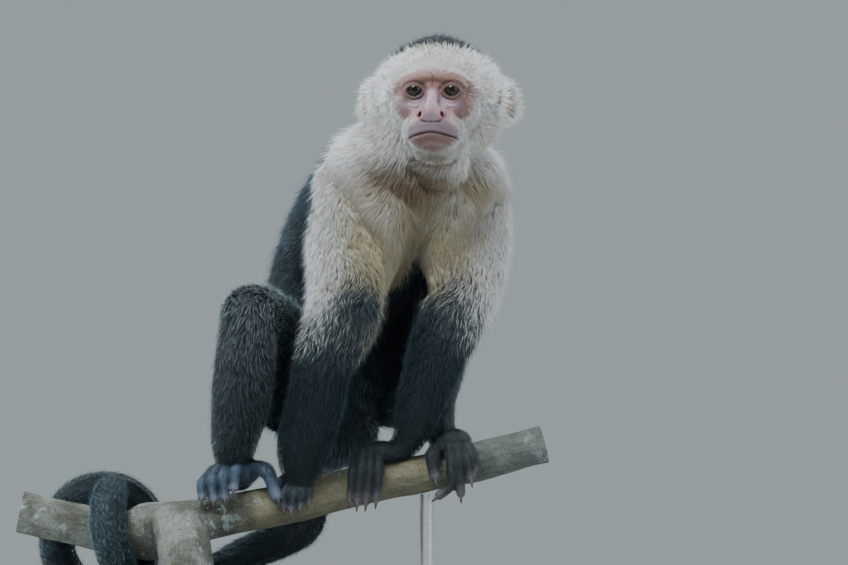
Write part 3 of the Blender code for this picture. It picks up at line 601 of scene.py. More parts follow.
# %% [markdown]
# Now the head, the body and the four paws become one skin. They already overlap where they meet, so
# a Boolean union joins them into one closed surface, and the creases at the neck, wrists and ankles
# are rubbed away with a few rounds of smoothing that fade out with the distance from each joint.
# %% One skin
skin = body_flesh
skin.name = "skin"
for piece in (head_flesh, *paw_flesh.values()):
    union = skin.modifiers.new("Union", "BOOLEAN")
    union.operation = "UNION"
    union.solver = "MANIFOLD"
    union.object = piece
    apply_modifiers(skin)
    bpy.data.objects.remove(piece, do_unlink=True)


def edges_of(mesh):
    """The two ends of each edge, as rows."""
    out = np.empty(len(mesh.edges) * 2, np.int64)
    mesh.edges.foreach_get("vertices", out)
    return out.reshape(-1, 2)


def neighbour_mean(values, edges, count):
    """Each point's value as the mean of its neighbours' values."""
    total = np.zeros((count, values.shape[1]))
    number = np.zeros(count)
    for a, b in ((0, 1), (1, 0)):
        for k in range(values.shape[1]):
            total[:, k] += np.bincount(edges[:, a], values[edges[:, b], k], count)
        number += np.bincount(edges[:, a], minlength=count)
    return total / np.maximum(number, 1)[:, None]


NECK, NECK_REACH, WRIST_REACH = (0.067, -0.006, 0.372), 0.026, 0.011
JOINTS = [(NECK, NECK_REACH)]
JOINTS += [(rows[-1][:3], WRIST_REACH) for name, (rows, _) in CHAINS.items() if name[:3] in ("arm", "leg")]
skin_points = points_of(skin.data)
skin_edges = edges_of(skin.data)
rub = np.zeros(len(skin_points))
for place, reach in JOINTS:
    rub = np.maximum(rub, hump(np.linalg.norm(skin_points - place, axis=1), reach))
rub *= smoothstep(0.002, 0.006, face_gap(to_head(skin_points)))
for _ in range(12):
    mean = neighbour_mean(skin_points, skin_edges, len(skin_points))
    skin_points += (mean - skin_points) * (0.6 * rub)[:, None]
set_points(skin.data, skin_points)
skin.data.shade_smooth()
skin.data.calc_loop_triangles()
print("skin:", len(skin.data.loop_triangles), "triangles")


# %% [markdown]
# Fur lies: on a limb it points down the limb, on the head it runs away from the face, on the back and
# the chest it runs down. Each chain therefore gives its own direction and how far inside its coat a
# point lies. The chain whose flesh a point is on counts the most, and the others fade out over half a
# centimetre, so the lie of the coat turns smoothly where a limb leaves the trunk.
# %% The lie and the depth of the coat
CHEST_TURN = math.radians(25)
FRONT = np.array((math.sin(CHEST_TURN), -math.cos(CHEST_TURN), 0.0))  # where the chest faces
LATERAL = np.array((math.cos(CHEST_TURN), math.sin(CHEST_TURN), 0.0))
CHEST_FAN = 0.75  # how far the chest's hair fans out sideways
SKIN_REACH = 0.004  # how fast a chain's say fades with the distance from its flesh
HEAD_REACH = 0.058
LEAST_DEPTH, MOST_DEPTH = 0.0008, 0.0125
FACE_CENTRE = np.array((0.0, -0.055, -0.006))
# the balls that the head's coat fills: centre and radii
HEAD_COAT = metres(((0, 1, 4), (47.2, 46, 37.6)), ((0, -5, -15), (50.5, 36, 34.5)),
                   ((0, -20, -1), (31, 27, 25.5)), ((0, -42, -23.5), (21.5, 23, 14.7)),
                   ((0, -40, -33), (18.5, 19.5, 11)), ((0, -21.5, 9), (27.5, 26.8, 22.8)))
PAW_LIE = (0, -0.5, -0.86)


def unit(vectors):
    """The vectors, each one unit long."""
    return vectors / np.maximum(np.linalg.norm(vectors, axis=-1, keepdims=True), 1e-9)


def samples(rows, steps=5):
    """Centres, coat radii, tangents and places from 0 to 1 along a chain."""
    path = smooth_path(rows, steps)
    return path[:, :3], path[:, 3], unit(np.gradient(path[:, :3], axis=0)), np.linspace(0, 1, len(path))


def stacked(parts):
    """Several sets of samples as one."""
    return tuple(np.concatenate(column) for column in zip(*parts))


def paw_samples():
    """Samples of all palms, heels and digits."""
    parts = []
    for palm, heel, digits in PAWS.values():
        for centre, radii in (palm, heel):
            parts.append((np.array([centre]), np.array([min(radii)]), np.array([PAW_LIE]), np.zeros(1)))
        for points, radius in digits:
            parts.append(samples([(*point, radius) for point in points]))
    return stacked(parts)


YOKE_MIDDLE, YOKE_FAN, YOKE_ALONG = 0.058, 14, 0.38  # its hair fans out, at this share of the trunk
yoke_centres, yoke_radii, _, _ = samples(YOKE)
yoke_lie = np.outer((yoke_centres[:, 0] - YOKE_MIDDLE) * YOKE_FAN, (1, 0, 0)) - (0, 0, 1)
yoke = (yoke_centres, yoke_radii, unit(yoke_lie), np.full(len(yoke_radii), YOKE_ALONG))
CHAIN_SAMPLES = {name: samples(rows) for name, (rows, _) in CHAINS.items()}
CHAIN_SAMPLES["trunk"] = stacked([CHAIN_SAMPLES["trunk"], yoke])
CHAIN_SAMPLES["paws"] = paw_samples()
CHAIN_DEPTH = {name: depth for name, (_, depth) in CHAINS.items()} | {"paws": (0.0005,)}
REGIONS = [*CHAIN_SAMPLES, "head"]
print("samples:", {name: len(parts[1]) for name, parts in CHAIN_SAMPLES.items()})


# %% Region, depth and lie at any point
def head_region(points):
    """The head's gap to the outside of its coat, and the lie of that coat."""
    local = to_head(points)
    full = local / np.column_stack([dome(local[:, 2]), np.ones((len(local), 2))])
    gaps = []
    for centre, radii in HEAD_COAT:
        q = np.linalg.norm((full - centre) / radii, axis=1)
        gaps.append((q - 1) * np.mean(radii))
    lie = unit(local - FACE_CENTRE)
    lie += np.outer(smoothstep(0.01, -0.025, local[:, 2]), (0, 0.1, -0.75))
    lie += np.outer(smoothstep(0.0, 0.04, local[:, 1]), (0, 0.2, -0.9))
    return np.min(gaps, axis=0), unit(lie) @ HEAD_MATRIX[:3, :3].T


def coat_at(points, normals):
    """Weights of the regions, the coat's depth and its lie, and each point's place on every chain."""
    weights, depths, lies, places, offsets = [], [], [], {}, {}
    for name, (centres, radii, tangents, along) in CHAIN_SAMPLES.items():
        squared = (points**2).sum(1)[:, None] + (centres**2).sum(1) - 2 * points @ centres.T
        gap = np.sqrt(np.maximum(squared, 0)) - radii
        best = gap.argmin(axis=1)
        gap = gap[np.arange(len(points)), best]
        places[name] = along[best]
        offsets[name] = (points - centres[best]) / radii[best][:, None]
        own = np.interp(along[best], np.linspace(0, 1, len(CHAIN_DEPTH[name])), CHAIN_DEPTH[name])
        weights.append(np.exp(-np.abs(gap + own) / SKIN_REACH))
        depths.append(-gap)
        lies.append(tangents[best])
    gap, lie = head_region(points)
    near_head = np.linalg.norm(to_head(points) - (0, -0.005, -0.004), axis=1)
    level = points[:, 2] + smoothstep(-0.035, -0.048, points[:, 1]) * 0.02
    over_neck = smoothstep(0.366, 0.378, level)
    weights.append(np.exp(-np.maximum(near_head - HEAD_REACH, 0) / SKIN_REACH) * over_neck)
    depths.append(-gap)
    lies.append(lie)
    weights = np.array(weights)
    weights[:-1] *= 1 - 0.98 * weights[-1]
    weights /= weights.sum(axis=0)
    depth = (weights * np.clip(depths, LEAST_DEPTH, MOST_DEPTH)).sum(axis=0)
    front_side = np.clip(offsets["trunk"] @ FRONT, 0, 1)
    fan = np.clip(offsets["trunk"] @ LATERAL, -1, 1) * front_side * CHEST_FAN
    trunk = REGIONS.index("trunk")
    lies[trunk] = lies[trunk] + fan[:, None] * LATERAL
    lie = (weights[:, :, None] * np.array(lies)).sum(axis=0)
    lie -= normals * (lie * normals).sum(axis=1, keepdims=True)
    return dict(zip(REGIONS, weights)), depth, unit(lie), places, offsets


skin_normals = normals_of(skin.data)
skin_points = points_of(skin.data)
skin_regions, skin_depth, skin_lie, skin_places, skin_offsets = coat_at(skin_points, skin_normals)
print("coat depth, mm:", in_mm(skin_depth))


# %% [markdown]
# The markings are worked out once, at the skin's points, and used twice: for the skin under the fur
# and, carried over to the roots, for every tuft. The head, throat, chest and upper arms are cream,
# with a black cap on the crown. The back, belly, forearms, legs and tail are black. Where they meet,
# pale and dark hairs mix, and on the arms and legs the dark hairs have pale tips, which gives the
# grizzled look of elbows and knees. So the formulas give the share of pale hairs and of pale tips,
# out of soft steps and humps of a point's place. A step may run from the larger number down.
# %% The markings
# the dark patches over the elbows: x and z, and half-widths
ELBOW_PATCHES = (((0.0215, 0.256), (0.0125, 0.017)), ((0.0655, 0.245), (0.014, 0.0165)))
BELLY_EDGE = (0.271, 0.0255, 0.0595, 0.0085)  # height, rise of the dark wedge, its place and half-width
# how far the pale front reaches round the trunk, by height
FRONT_EDGE = ((0.25, 0.3, 0.33, 0.352, 0.375, 0.4), (0.6, 0.48, 0.28, -0.15, -0.45, -0.7))
ARM_EDGES = (("arm_right", -1, 0.24), ("arm_left", 1, 0.234))  # outer side, where the dark part starts
TIP_SHARES = {"trunk": 0.1, "head": 0.02, "tail": 0.06, "paws": 0.25}


def cap_share(local):
    """The black cap: a rounded V over the crown that runs down the nape."""
    x, y, z = local.T
    plan = np.hypot((x + 0.002) / 0.035, (y - 0.0165) / 0.037)
    crown = smoothstep(1.06, 0.94, plan) * smoothstep(0.004, 0.014, z + 0.25 * y)
    nape = smoothstep(0.03, 0.022, np.abs(x)) * smoothstep(0.022, 0.034, y) * smoothstep(0.03, 0.015, z)
    return np.maximum(crown, nape)


crown, brow = (0, 0.01, 0.03), (0, -0.03, 0.02)
print("cap on the crown and on the brow:", cap_share(np.array((crown, brow))).round(2))


# %% Pale, tan and brown shares
def arm_markings(outside, behind, place, patch, front, start):
    """Shares of pale hairs, of pale tips and of the inner side on one arm."""
    turn = start + 0.14 * np.maximum(outside, 0) + 0.055 * smoothstep(-0.25, -0.75, outside)
    turn = turn - smoothstep(0.45, 0.85, behind) * 0.1
    share = smoothstep(turn + 0.265, turn - 0.11, place)
    shoulder = smoothstep(0.16, 0.07, place)
    grizzle = smoothstep(0.54, 0.28, place - 0.06 * outside) * (1 - shoulder) * (1 - 0.55 * patch)
    pale_share = share * (1 - 0.9 * patch) * (1 - shoulder * (1 - front))
    return pale_share, 0.03 + 0.97 * grizzle, smoothstep(0.65, -0.35, outside)


def warmth(points, local, regions, spread_out, side, inner_arm):
    """How tan the pale hairs are: on the chest, the inner arms, the cheeks, the jaw, under the chin and
    over the brow; on the chest, the inner arms, the jaw and under the chin the tan is partly painted shade.
    """
    middle_front = 0.7 * smoothstep(1.05, 0.6, spread_out) + 0.3 * smoothstep(0.45, 0.15, spread_out)
    middle_front *= regions["trunk"] * smoothstep(0.1, 0.5, side)
    x, _, z = local.T
    cheeks = smoothstep(0.018, 0.03, np.abs(x)) * smoothstep(-0.012, -0.03, z)
    over_brow = 0.4 * hump(x, 0.016) * smoothstep(0.018, 0.026, z)
    # the tan under the chin and on the jaw is partly painted shade
    on_head = regions["head"] * (over_brow + 0.06 + 0.45 * cheeks + 0.5 * smoothstep(-0.038, -0.048, z))
    jaw = spot(x - 0.036, z + 0.036, 0.011, 0.012) + spot(x + 0.034, z + 0.044, 0.012, 0.012)
    # the tan of the inner arms is partly painted shade
    return middle_front * smoothstep(0.36, 0.342, points[:, 2]) + 0.92 * inner_arm + on_head + 0.35 * jaw


def throat_tint_and_shade(points, local, regions, spread_out, side):
    """The brown of the throat, of the chin's stubble and down the middle of the chest, partly painted shade
    under the chin and in the chest's middle.
    """
    throat = 1.2 * spot(points[:, 0] - 0.05, points[:, 2] - 0.348, 0.024, 0.013) * (points[:, 1] < 0.0)
    x, y, z = local.T
    chin, below = smoothstep(-0.0395, -0.045, z), smoothstep(-0.046, -0.054, z)
    # the chin's brown: short hair and painted shade under the lower lip
    chin_stubble_and_shade = smoothstep(0.0175, 0.0095, np.abs(x)) * (0.7 * chin + 0.25 * below)
    throat += chin_stubble_and_shade * regions["head"] * (y < -0.02)
    # painted shade down the middle of the chest, between the arms
    down_chest = hump(spread_out, 0.33) * smoothstep(0.3, 0.325, points[:, 2])
    return throat + 0.32 * down_chest * regions["trunk"] * (side > 0.2)


def markings(points, regions, places, offsets):
    """Share of pale hairs, paleness of the dark hairs' tips, warmth, and the throat's brown."""
    x, y, z = points.T
    local = to_head(points)
    side = offsets["trunk"] @ FRONT
    spread_out = np.abs(offsets["trunk"] @ LATERAL)
    facing = side / np.maximum(np.hypot(side, spread_out), 1e-6)
    turn = np.interp(z, *FRONT_EDGE)
    front = smoothstep(turn - 0.13, turn + 0.13, facing)
    edge = BELLY_EDGE[0] + BELLY_EDGE[1] * hump(x - BELLY_EDGE[2], BELLY_EDGE[3])
    trunk = front * smoothstep(-0.007, 0.007, z - edge)
    pale = regions["head"] * (1 - cap_share(local)) + regions["trunk"] * trunk
    patch = np.zeros(len(points))
    for (patch_x, patch_z), halves in ELBOW_PATCHES:
        patch = np.maximum(patch, spot(x - patch_x, z - patch_z, *halves))
    tips = sum(share * regions[name] for name, share in TIP_SHARES.items())
    inner_arm = np.zeros(len(points))
    for name, outer, start in ARM_EDGES:
        outside, behind = offsets[name][:, 0] * outer, offsets[name][:, 1]
        shares = arm_markings(outside, behind, places[name], patch, front, start)
        pale += regions[name] * shares[0]
        tips += regions[name] * shares[1]
        inner_arm += regions[name] * shares[2]
    for name in ("leg_right", "leg_left"):
        place = places[name]
        knee = hump(place - 0.42, 0.14)
        tips += regions[name] * (0.14 + knee + 0.2 * smoothstep(0.3, 0.5, place))
    uneven = np.sin(210 * x + 2.0 * np.sin(160 * z))
    uneven = uneven * np.sin(190 * z + 1.5 * np.sin(230 * x + 0.7) + 90 * y)
    warm = warmth(points, local, regions, spread_out, side, inner_arm)
    warm += 0.13 * uneven * smoothstep(0.0, 0.5, pale)
    throat = throat_tint_and_shade(points, local, regions, spread_out, side)
    return tuple(np.clip(share, 0, 1) for share in (pale, tips, warm, throat))


# %% The coat's colours
# each trio runs root, middle, tip; the darker roots are painted shade deep in the coat
CREAM_ROOT, CREAM, CREAM_TIP = (0.66, 0.625, 0.575), (0.8, 0.785, 0.765), (0.91, 0.92, 0.94)
# the tan is darker than the coat's own tan: partly painted shade under the head and between the arms
TAN_ROOT, TAN, TAN_TIP = (0.21, 0.14, 0.07), (0.38, 0.295, 0.16), (0.59, 0.5, 0.32)
# the dark hairs' blue-teal tint, strongest at the tips, and the blue in the grey tips are a painted sky
# reflection; the black and the grey grizzle are the coat's own colour
DARK_ROOT, DARK, DARK_TIP = (0.002, 0.004, 0.006), (0.003, 0.01, 0.015), (0.005, 0.03, 0.047)
GREY_TIP = (0.37, 0.43, 0.46)
# brown of the throat and chin, partly painted shade under the chin and down the chest
THROAT_BROWN_AND_SHADE = (0.16, 0.085, 0.045)


def mixed(a, b, share):
    """Colours a and b mixed by a share for each row."""
    share = np.asarray(share)[..., None]
    return np.asarray(a) * (1 - share) + np.asarray(b) * share


pale, tips, warm, throat = markings(skin_points, skin_regions, skin_places, skin_offsets)
print("pale share of the skin's points:", round(float(pale.mean()), 2))


# %% [markdown]
# The bare skin has its own paint: pink, paler on the nose, grey-mauve on the lips, orange-brown over
# the brows, darker round the lids, and small freckles. There is painted shade in the nostrils, in the
# fold over each lid and in the hollows, and a painted highlight on the ridges. The hands and the left
# foot are near-black grey. The right foot is a painted sky-lit blue-grey copy of the same skin. It is
# all kept as a colour on each point, where the mesh is fine enough to hold it.
# %% Painting the skin
PINK, PALE_PINK, MAUVE = (0.265, 0.145, 0.138), (0.45, 0.3, 0.385), (0.15, 0.095, 0.105)
BROW_ORANGE, LID_BROWN, DARK_LINE = (0.128, 0.052, 0.032), (0.08, 0.038, 0.033), (0.03, 0.018, 0.018)
CHEEK_BROWN, NOSE_GREY = (0.14, 0.082, 0.074), (0.17, 0.12, 0.145)
LIP_LILAC, LOWER_LIP = (0.2, 0.15, 0.215), (0.14, 0.07, 0.056)
# the right foot's blue-grey is a painted sky-lit copy of the paws' dark skin
FOOT_SKY_LIT, HAND_DARK, PAW_PAD = (0.044, 0.072, 0.11), (0.01, 0.0105, 0.012), (0.12, 0.105, 0.115)
EAR_PINK = (0.44, 0.31, 0.235)
UNDER_EYE, NOSE_TIP, NOSE_WING = (0.4, 0.32, 0.4), (0.17, 0.095, 0.11), (0.34, 0.155, 0.16)
MIDDLE_LIP, CHIN_PALE, PALE_RIM = (0.105, 0.068, 0.08), (0.22, 0.165, 0.175), (0.46, 0.43, 0.43)
# the nostrils' dark red, deepened by painted shade inside the holes
NOSTRIL_DARK = (0.05, 0.018, 0.018)
RUNG = np.random.default_rng(7)


def face_paint(x, z):
    """The bare face's colour at a place seen from the front."""
    ax, dz = np.abs(x), z - mouth_line(x)
    u, v = ax - EYE_IN_HEAD.x, z - EYE_IN_HEAD.z
    gap = lid_gap(u, v)[0]
    brow = hump(z - 0.0085 + 0.002 * (ax / 0.02) ** 2, 0.0042) * smoothstep(0.0265, 0.018, ax)
    bridge = hump(ax / (0.0042 + 0.22 * np.maximum(0.004 - z, 0)), 1.0) * smoothstep(0.004, -0.001, z)
    muzzle = smoothstep(1.15, 0.7, np.hypot(ax / 0.019, (z + 0.0305) / 0.0122))
    above_mouth, below_mouth = smoothstep(-0.0005, 0.0015, dz), smoothstep(0.0004, -0.0012, dz)
    middle_lip = hump(ax, 0.011) * smoothstep(-0.0195, -0.0225, z) * above_mouth
    rim = hump(np.hypot(ax / 0.0188, (z + 0.029) / 0.0132) - 1.0, 0.06) * smoothstep(0.0085, 0.0125, ax)
    layers = (
        (CHEEK_BROWN, 0.8 * smoothstep(0.011, 0.021, ax) * smoothstep(-0.002, -0.01, z)),
        (BROW_ORANGE, 0.75 * brow),
        (BROW_ORANGE, 0.8 * hump(x, 0.0026) * hump(z - 0.004, 0.0065)),
        (PALE_PINK, 0.85 * bridge * smoothstep(-0.0215, -0.0195, z)),
        (UNDER_EYE, 0.75 * spot(u + 0.002, v + 0.0085, 0.0075, 0.0032)),
        (BROW_ORANGE, 0.55 * spot(u - 0.007, v - 0.001, 0.006, 0.007)),
        (NOSE_TIP, 0.85 * spot(ax, z + 0.0158, 0.0095, 0.0065)),
        (NOSE_GREY, 0.7 * spot(x, z + 0.0165, 0.0024, 0.0042)),
        (NOSE_WING, 0.8 * spot(ax - 0.0082, z + 0.0165, 0.0036, 0.0045)),
        (LIP_LILAC, 0.75 * muzzle * above_mouth),
        (MIDDLE_LIP, 0.75 * middle_lip),
        (LOWER_LIP, 0.85 * muzzle * below_mouth),
        (CHIN_PALE, 0.6 * hump(dz + 0.0082, 0.0016) * muzzle),
        (MAUVE, 0.85 * hump(dz - 0.0012, 0.0027) * smoothstep(0.02, 0.0165, ax)),
        (PALE_RIM, 0.65 * rim),
        (LID_BROWN, 0.85 * hump(gap - 0.0006, 0.0019)),
        # painted shade in the fold over the upper lid
        (LID_BROWN, 0.6 * hump(gap - 0.003, 0.0014) * smoothstep(-0.001, 0.003, v)),
        (DARK_LINE, 0.7 * hump(dz, 0.0005) * smoothstep(0.019, 0.018, ax)),
        (DARK_LINE, smoothstep(0.00035, -0.0001, gap)),
        # the nostrils: dark red skin with painted shade inside the holes
        (NOSTRIL_DARK, smoothstep(1.2, 0.75, nostril_gap(ax, z, 0.0024))),
    )
    paint = np.tile(PINK, (len(x), 1))
    for colour, share in layers:
        paint = mixed(paint, colour, share)
    return paint


print("colour between the eyes:", face_paint(np.zeros(1), np.zeros(1))[0].round(3))

# %% The colour of every point of the skin
skin_local = to_head(skin_points)
# the skin under the fur takes the roots' colours, with their painted shade
under_fur = mixed(mixed(DARK_ROOT, DARK, 0.6), CREAM_ROOT, pale)
under_fur = mixed(under_fur, TAN_ROOT, 0.5 * warm * pale)
bare_face = smoothstep(0.0035, -0.0005, face_gap(skin_local)) * (skin_local[:, 1] < -0.012)
face = face_paint(skin_local[:, 0], skin_local[:, 2])
FRECKLES, FRECKLE_DARK = 90, 0.38
for _ in range(FRECKLES):
    across, up = RUNG.normal(0, 0.009), RUNG.uniform(-0.026, 0.0)
    size = RUNG.uniform(0.00025, 0.0005)
    away = np.hypot(skin_local[:, 0] - across, skin_local[:, 2] - up)
    face *= (1 - FRECKLE_DARK * hump(away, size))[:, None]
skin_colour = mixed(under_fur, face, bare_face)
skin_x = skin_points[:, 0]
# the right foot gets the painted sky-lit blue-grey; the hands and the left foot keep the dark skin
on_hand = 0.72 * smoothstep(-0.036, -0.031, skin_x) + 0.28 * smoothstep(-0.008, 0.002, skin_x)
paw = mixed(FOOT_SKY_LIT, HAND_DARK, on_hand)
paw = mixed(paw, PAW_PAD, smoothstep(0.75, 1.0, skin_places["paws"]) * 0.35)
bare_paw = smoothstep(0.35, 0.75, skin_regions["paws"])
skin_colour = mixed(skin_colour, paw, bare_paw)
_, ear_out, ear_along, ear_up = ear_place(skin_local)
in_oval = np.hypot(ear_along / EAR_HALF[0], ear_up / EAR_HALF[1]) < 1.2
ear_share = smoothstep(0.01, 0.006, np.abs(ear_out)) * in_oval * (np.abs(skin_local[:, 0]) > 0.04)
skin_colour = mixed(skin_colour, EAR_PINK, ear_share)
# painted shade in the hollows of bare skin, and a painted highlight on its ridges
sunk = neighbour_mean(skin_points, skin_edges, len(skin_points)) - skin_points
hollow = (sunk * skin_normals).sum(axis=1)
hollow = neighbour_mean(hollow[:, None], skin_edges, len(skin_points))[:, 0]
bare_skin = np.maximum(bare_paw, 0.6 * bare_face)
# painted shade: the hollows of bare skin are darkened
skin_colour = skin_colour * (1 - 0.75 * bare_skin * smoothstep(0.00001, 0.00009, hollow))[:, None]
# painted highlight: the ridges of bare skin are lightened
skin_colour = skin_colour * (1 + 0.55 * bare_skin * smoothstep(-0.00002, -0.0001, hollow))[:, None]
print("hollows, mm:", in_mm(hollow[bare_skin > 0.3]))


def paint_points(mesh, name, colours):
    """A colour on each point of a mesh, under this name."""
    layer = mesh.attributes.new(name, "FLOAT_COLOR", "POINT")
    opaque = np.column_stack([colours, np.ones(len(colours))])
    layer.data.foreach_set("color", opaque.astype(np.float32).ravel())


paint_points(skin.data, "Coat", skin_colour)
print("bare points:", int((bare_face > 0.5).sum()), "ear points:", int((ear_share > 0.5).sum()))


# %% [markdown]
# Every tuft needs a place on a flat map, for baking: the skin is unwrapped once, and a tuft takes a
# small patch at its root's place on that map. The roots are spread later over the skin's triangles, by
# area times the wanted density, so the areas are measured here too.
# %% Roots for the tufts
def edit_all(obj):
    """Opens an object in edit mode with all of its mesh selected."""
    take(obj)
    bpy.ops.object.mode_set(mode="EDIT")
    bpy.ops.mesh.select_all(action="SELECT")


def corners_of(mesh, kind):
    """The three vertices, or the three loops, of each triangle."""
    out = np.empty(len(mesh.loop_triangles) * 3, np.int32)
    mesh.loop_triangles.foreach_get(kind, out)
    return out.reshape(-1, 3)


edit_all(skin)
bpy.ops.uv.smart_project(angle_limit=math.radians(66), island_margin=0.002)
bpy.ops.object.mode_set(mode="OBJECT")
skin.data.calc_loop_triangles()
corners, loops = corners_of(skin.data, "vertices"), corners_of(skin.data, "loops")
flat = np.empty(len(skin.data.loops) * 2, np.float32)
skin.data.uv_layers.active.uv.foreach_get("vector", flat)
flat = flat.reshape(-1, 2)
side_a = skin_points[corners[:, 1]] - skin_points[corners[:, 0]]
side_b = skin_points[corners[:, 2]] - skin_points[corners[:, 0]]
areas = np.linalg.norm(np.cross(side_a, side_b), axis=1) / 2
print("skin area:", round(float(areas.sum()), 3), "m2")
print("map spans", flat.min(axis=0).round(2), flat.max(axis=0).round(2))


# %% [markdown]
# The coat's length changes over the animal: short round the face and on the feet, long on the back
# and the shoulders. Where the coat's own depth asks for more, the tufts are longer, because they lie
# at a slant. No tufts grow on the bare face, the palms, the soles and inside the ears.
# %% Length and density of the coat
TUFT_COUNT = 245000
PALE_TUFTS = 0.85  # how much denser pale hair stands on the body
MORE_TUFTS = {"head": 0.75, "paws": 0.9, "tail": 0.15}  # how much denser each of these is than the body
ARM_LENGTHS, LEG_LENGTHS = (14, 13.5, 11.5, 9, 7, 5), (12, 11, 9, 8, 7, 5.5)  # in millimetres
LENGTHS = {"arm_right": ARM_LENGTHS, "arm_left": ARM_LENGTHS,
           "leg_right": LEG_LENGTHS, "leg_left": LEG_LENGTHS,
           "tail": (10, 8.5, 7.5, 7, 6.5, 6), "paws": (4.5, 2.8), "trunk": (14, 15, 14, 13, 12, 12)}


def head_length(local):
    """Coat length on the head in metres: short by the face, long at the sides and under the chin."""
    x, y, z = local.T
    from_face = np.maximum(face_gap(local), 0) + 0.5 * np.maximum(y + 0.04, 0)
    length = np.interp(from_face, (0, 0.004, 0.012, 0.03), (0.0036, 0.0056, 0.009, 0.012))
    length = length * (1 - 0.34 * smoothstep(0.012, 0.034, z))  # the crown
    length = length * (1 - 0.15 * smoothstep(0.0405, 0.045, np.abs(x)))  # the ears
    length = length * (1 - 0.22 * smoothstep(-0.03, -0.04, z))  # under the jaw
    jaw = smoothstep(-0.012, -0.032, z) * smoothstep(0.003, 0.01, from_face)
    chin = smoothstep(-0.038, -0.044, z) * smoothstep(0.017, 0.009, np.abs(x))
    return length + 0.001 * jaw + 0.004 * chin + 0.005 * smoothstep(-0.043, -0.05, z)


print("coat on the cheek, mm:", (head_length(np.array(((0.034, -0.02, -0.02),))) * 1000).round(1))

# %% Length and density at any point
BACK_OF_PAW = (0, -0.55, 0.83)  # where the hairy side of a hand or a foot faces


def ragged(local):
    """A small uneven shift of the border between the bare face and the hair."""
    x, _, z = local.T
    wide = np.sin(950 * x + 2.1 * np.sin(700 * z)) * np.sin(870 * z + 1.7 * np.sin(610 * x + 1.0))
    return 0.0011 * wide + 0.0007 * np.sin(2900 * x + 2.0 * np.sin(1900 * z)) * np.sin(2500 * z + 0.6)


def coat_fields(points, normals, regions, places, depth):
    """Length of the tufts and how densely they stand, for each point."""
    local = to_head(points)
    x, y, z = local.T
    length = regions["head"] * head_length(local)
    for name, values in LENGTHS.items():
        length += regions[name] * np.interp(places[name], np.linspace(0, 1, len(values)), values) / 1000
    length = np.maximum(length, 1.35 * depth * (1 - regions["head"]) * (1 - regions["paws"]))
    density = 1.0 + sum(more * regions[name] for name, more in MORE_TUFTS.items())
    density += PALE_TUFTS * pale * (1 - regions["head"])
    # short dense hair stands round the bare face, and a few hairs on its rim
    gap = face_gap(local) + ragged(local)
    facing = smoothstep(-0.012, -0.016, y) * regions["head"]
    density += (0.9 - 0.6 * smoothstep(-0.036, -0.04, z)) * smoothstep(0.012, 0.002, gap) * facing
    rim = hump(np.hypot(x / 0.0188, (z + 0.029) / 0.0134) - 1.0, 0.13)
    rim *= smoothstep(0.0085, 0.0135, np.abs(x)) + smoothstep(-0.034, -0.039, z)
    sparse = 0.55 * smoothstep(-0.0035, 0.0006, gap) ** 2 + 0.45 * np.clip(rim, 0, 1)
    sparse += 0.25 * smoothstep(0.0095, 0.013, z) * smoothstep(-0.012, -0.002, gap)
    density *= 1 - facing * (1 - sparse) * smoothstep(0.0012, 0.0, gap)
    length *= 1 - 0.35 * facing * smoothstep(0.0012, -0.001, gap)
    # none grow on the lids, the lips, inside the ears, on the palms and the soles
    bald = (gap < -0.0002) & (np.hypot(np.abs(x) - EYE_IN_HEAD.x, z) < 0.0085)
    bald |= (gap < 0) & (np.abs(z - mouth_line(x)) < 0.0012)
    _, out, along, up = ear_place(local)
    bald |= (np.hypot(along / 0.0062, up / 0.0085) < 1.0) & (np.abs(out) < 0.012) & (np.abs(x) > 0.0385)
    palm = smoothstep(-0.05, 0.25, normals @ np.array(BACK_OF_PAW))
    density *= 1 - regions["paws"] * (1 - palm * smoothstep(0.95, 0.55, places["paws"]))
    density[bald] = 0
    return length, density


skin_length, skin_density = coat_fields(skin_points, skin_normals, skin_regions, skin_places, skin_depth)
weight = areas * skin_density[corners].mean(axis=1)
walk = np.cumsum(weight)
print("a tuft each", round(math.sqrt(walk[-1] / TUFT_COUNT) * 1000, 2), "mm")
print("lengths of hair, mm:", in_mm(skin_length[skin_density > 0]))


# %% [markdown]
# Walking evenly along the summed areas gives each root its triangle, and keeps the roots more even than
# free chance would. A root is a random place in its triangle, and every field is carried over from the
# three corners. The share of pale hairs decides by chance whether a tuft is pale or dark, so the border
# between cream and black is a mixture of whole tufts, as it is in the animal.
# %% Growing the roots
STRAYS = 0.16  # share of fine single hairs that stand out over the coat
CHIN_LIFT = 0.0045  # hair stands off from the skin under the chin
CHANCE = np.random.default_rng(2024)
steps = (np.arange(TUFT_COUNT) + CHANCE.random(TUFT_COUNT)) * walk[-1] / TUFT_COUNT
tri = np.minimum(np.searchsorted(walk, steps), len(walk) - 1)
first, second = CHANCE.random(TUFT_COUNT), CHANCE.random(TUFT_COUNT)
folded = first + second > 1
first[folded], second[folded] = 1 - first[folded], 1 - second[folded]
inner = np.column_stack([1 - first - second, first, second])


def at_roots(values, index=None):
    """A field on the skin's points, carried to the tufts' roots."""
    values = np.asarray(values)[corners[tri] if index is None else index[tri]]
    return (values * inner.reshape(inner.shape + (1,) * (values.ndim - 2))).sum(axis=1)


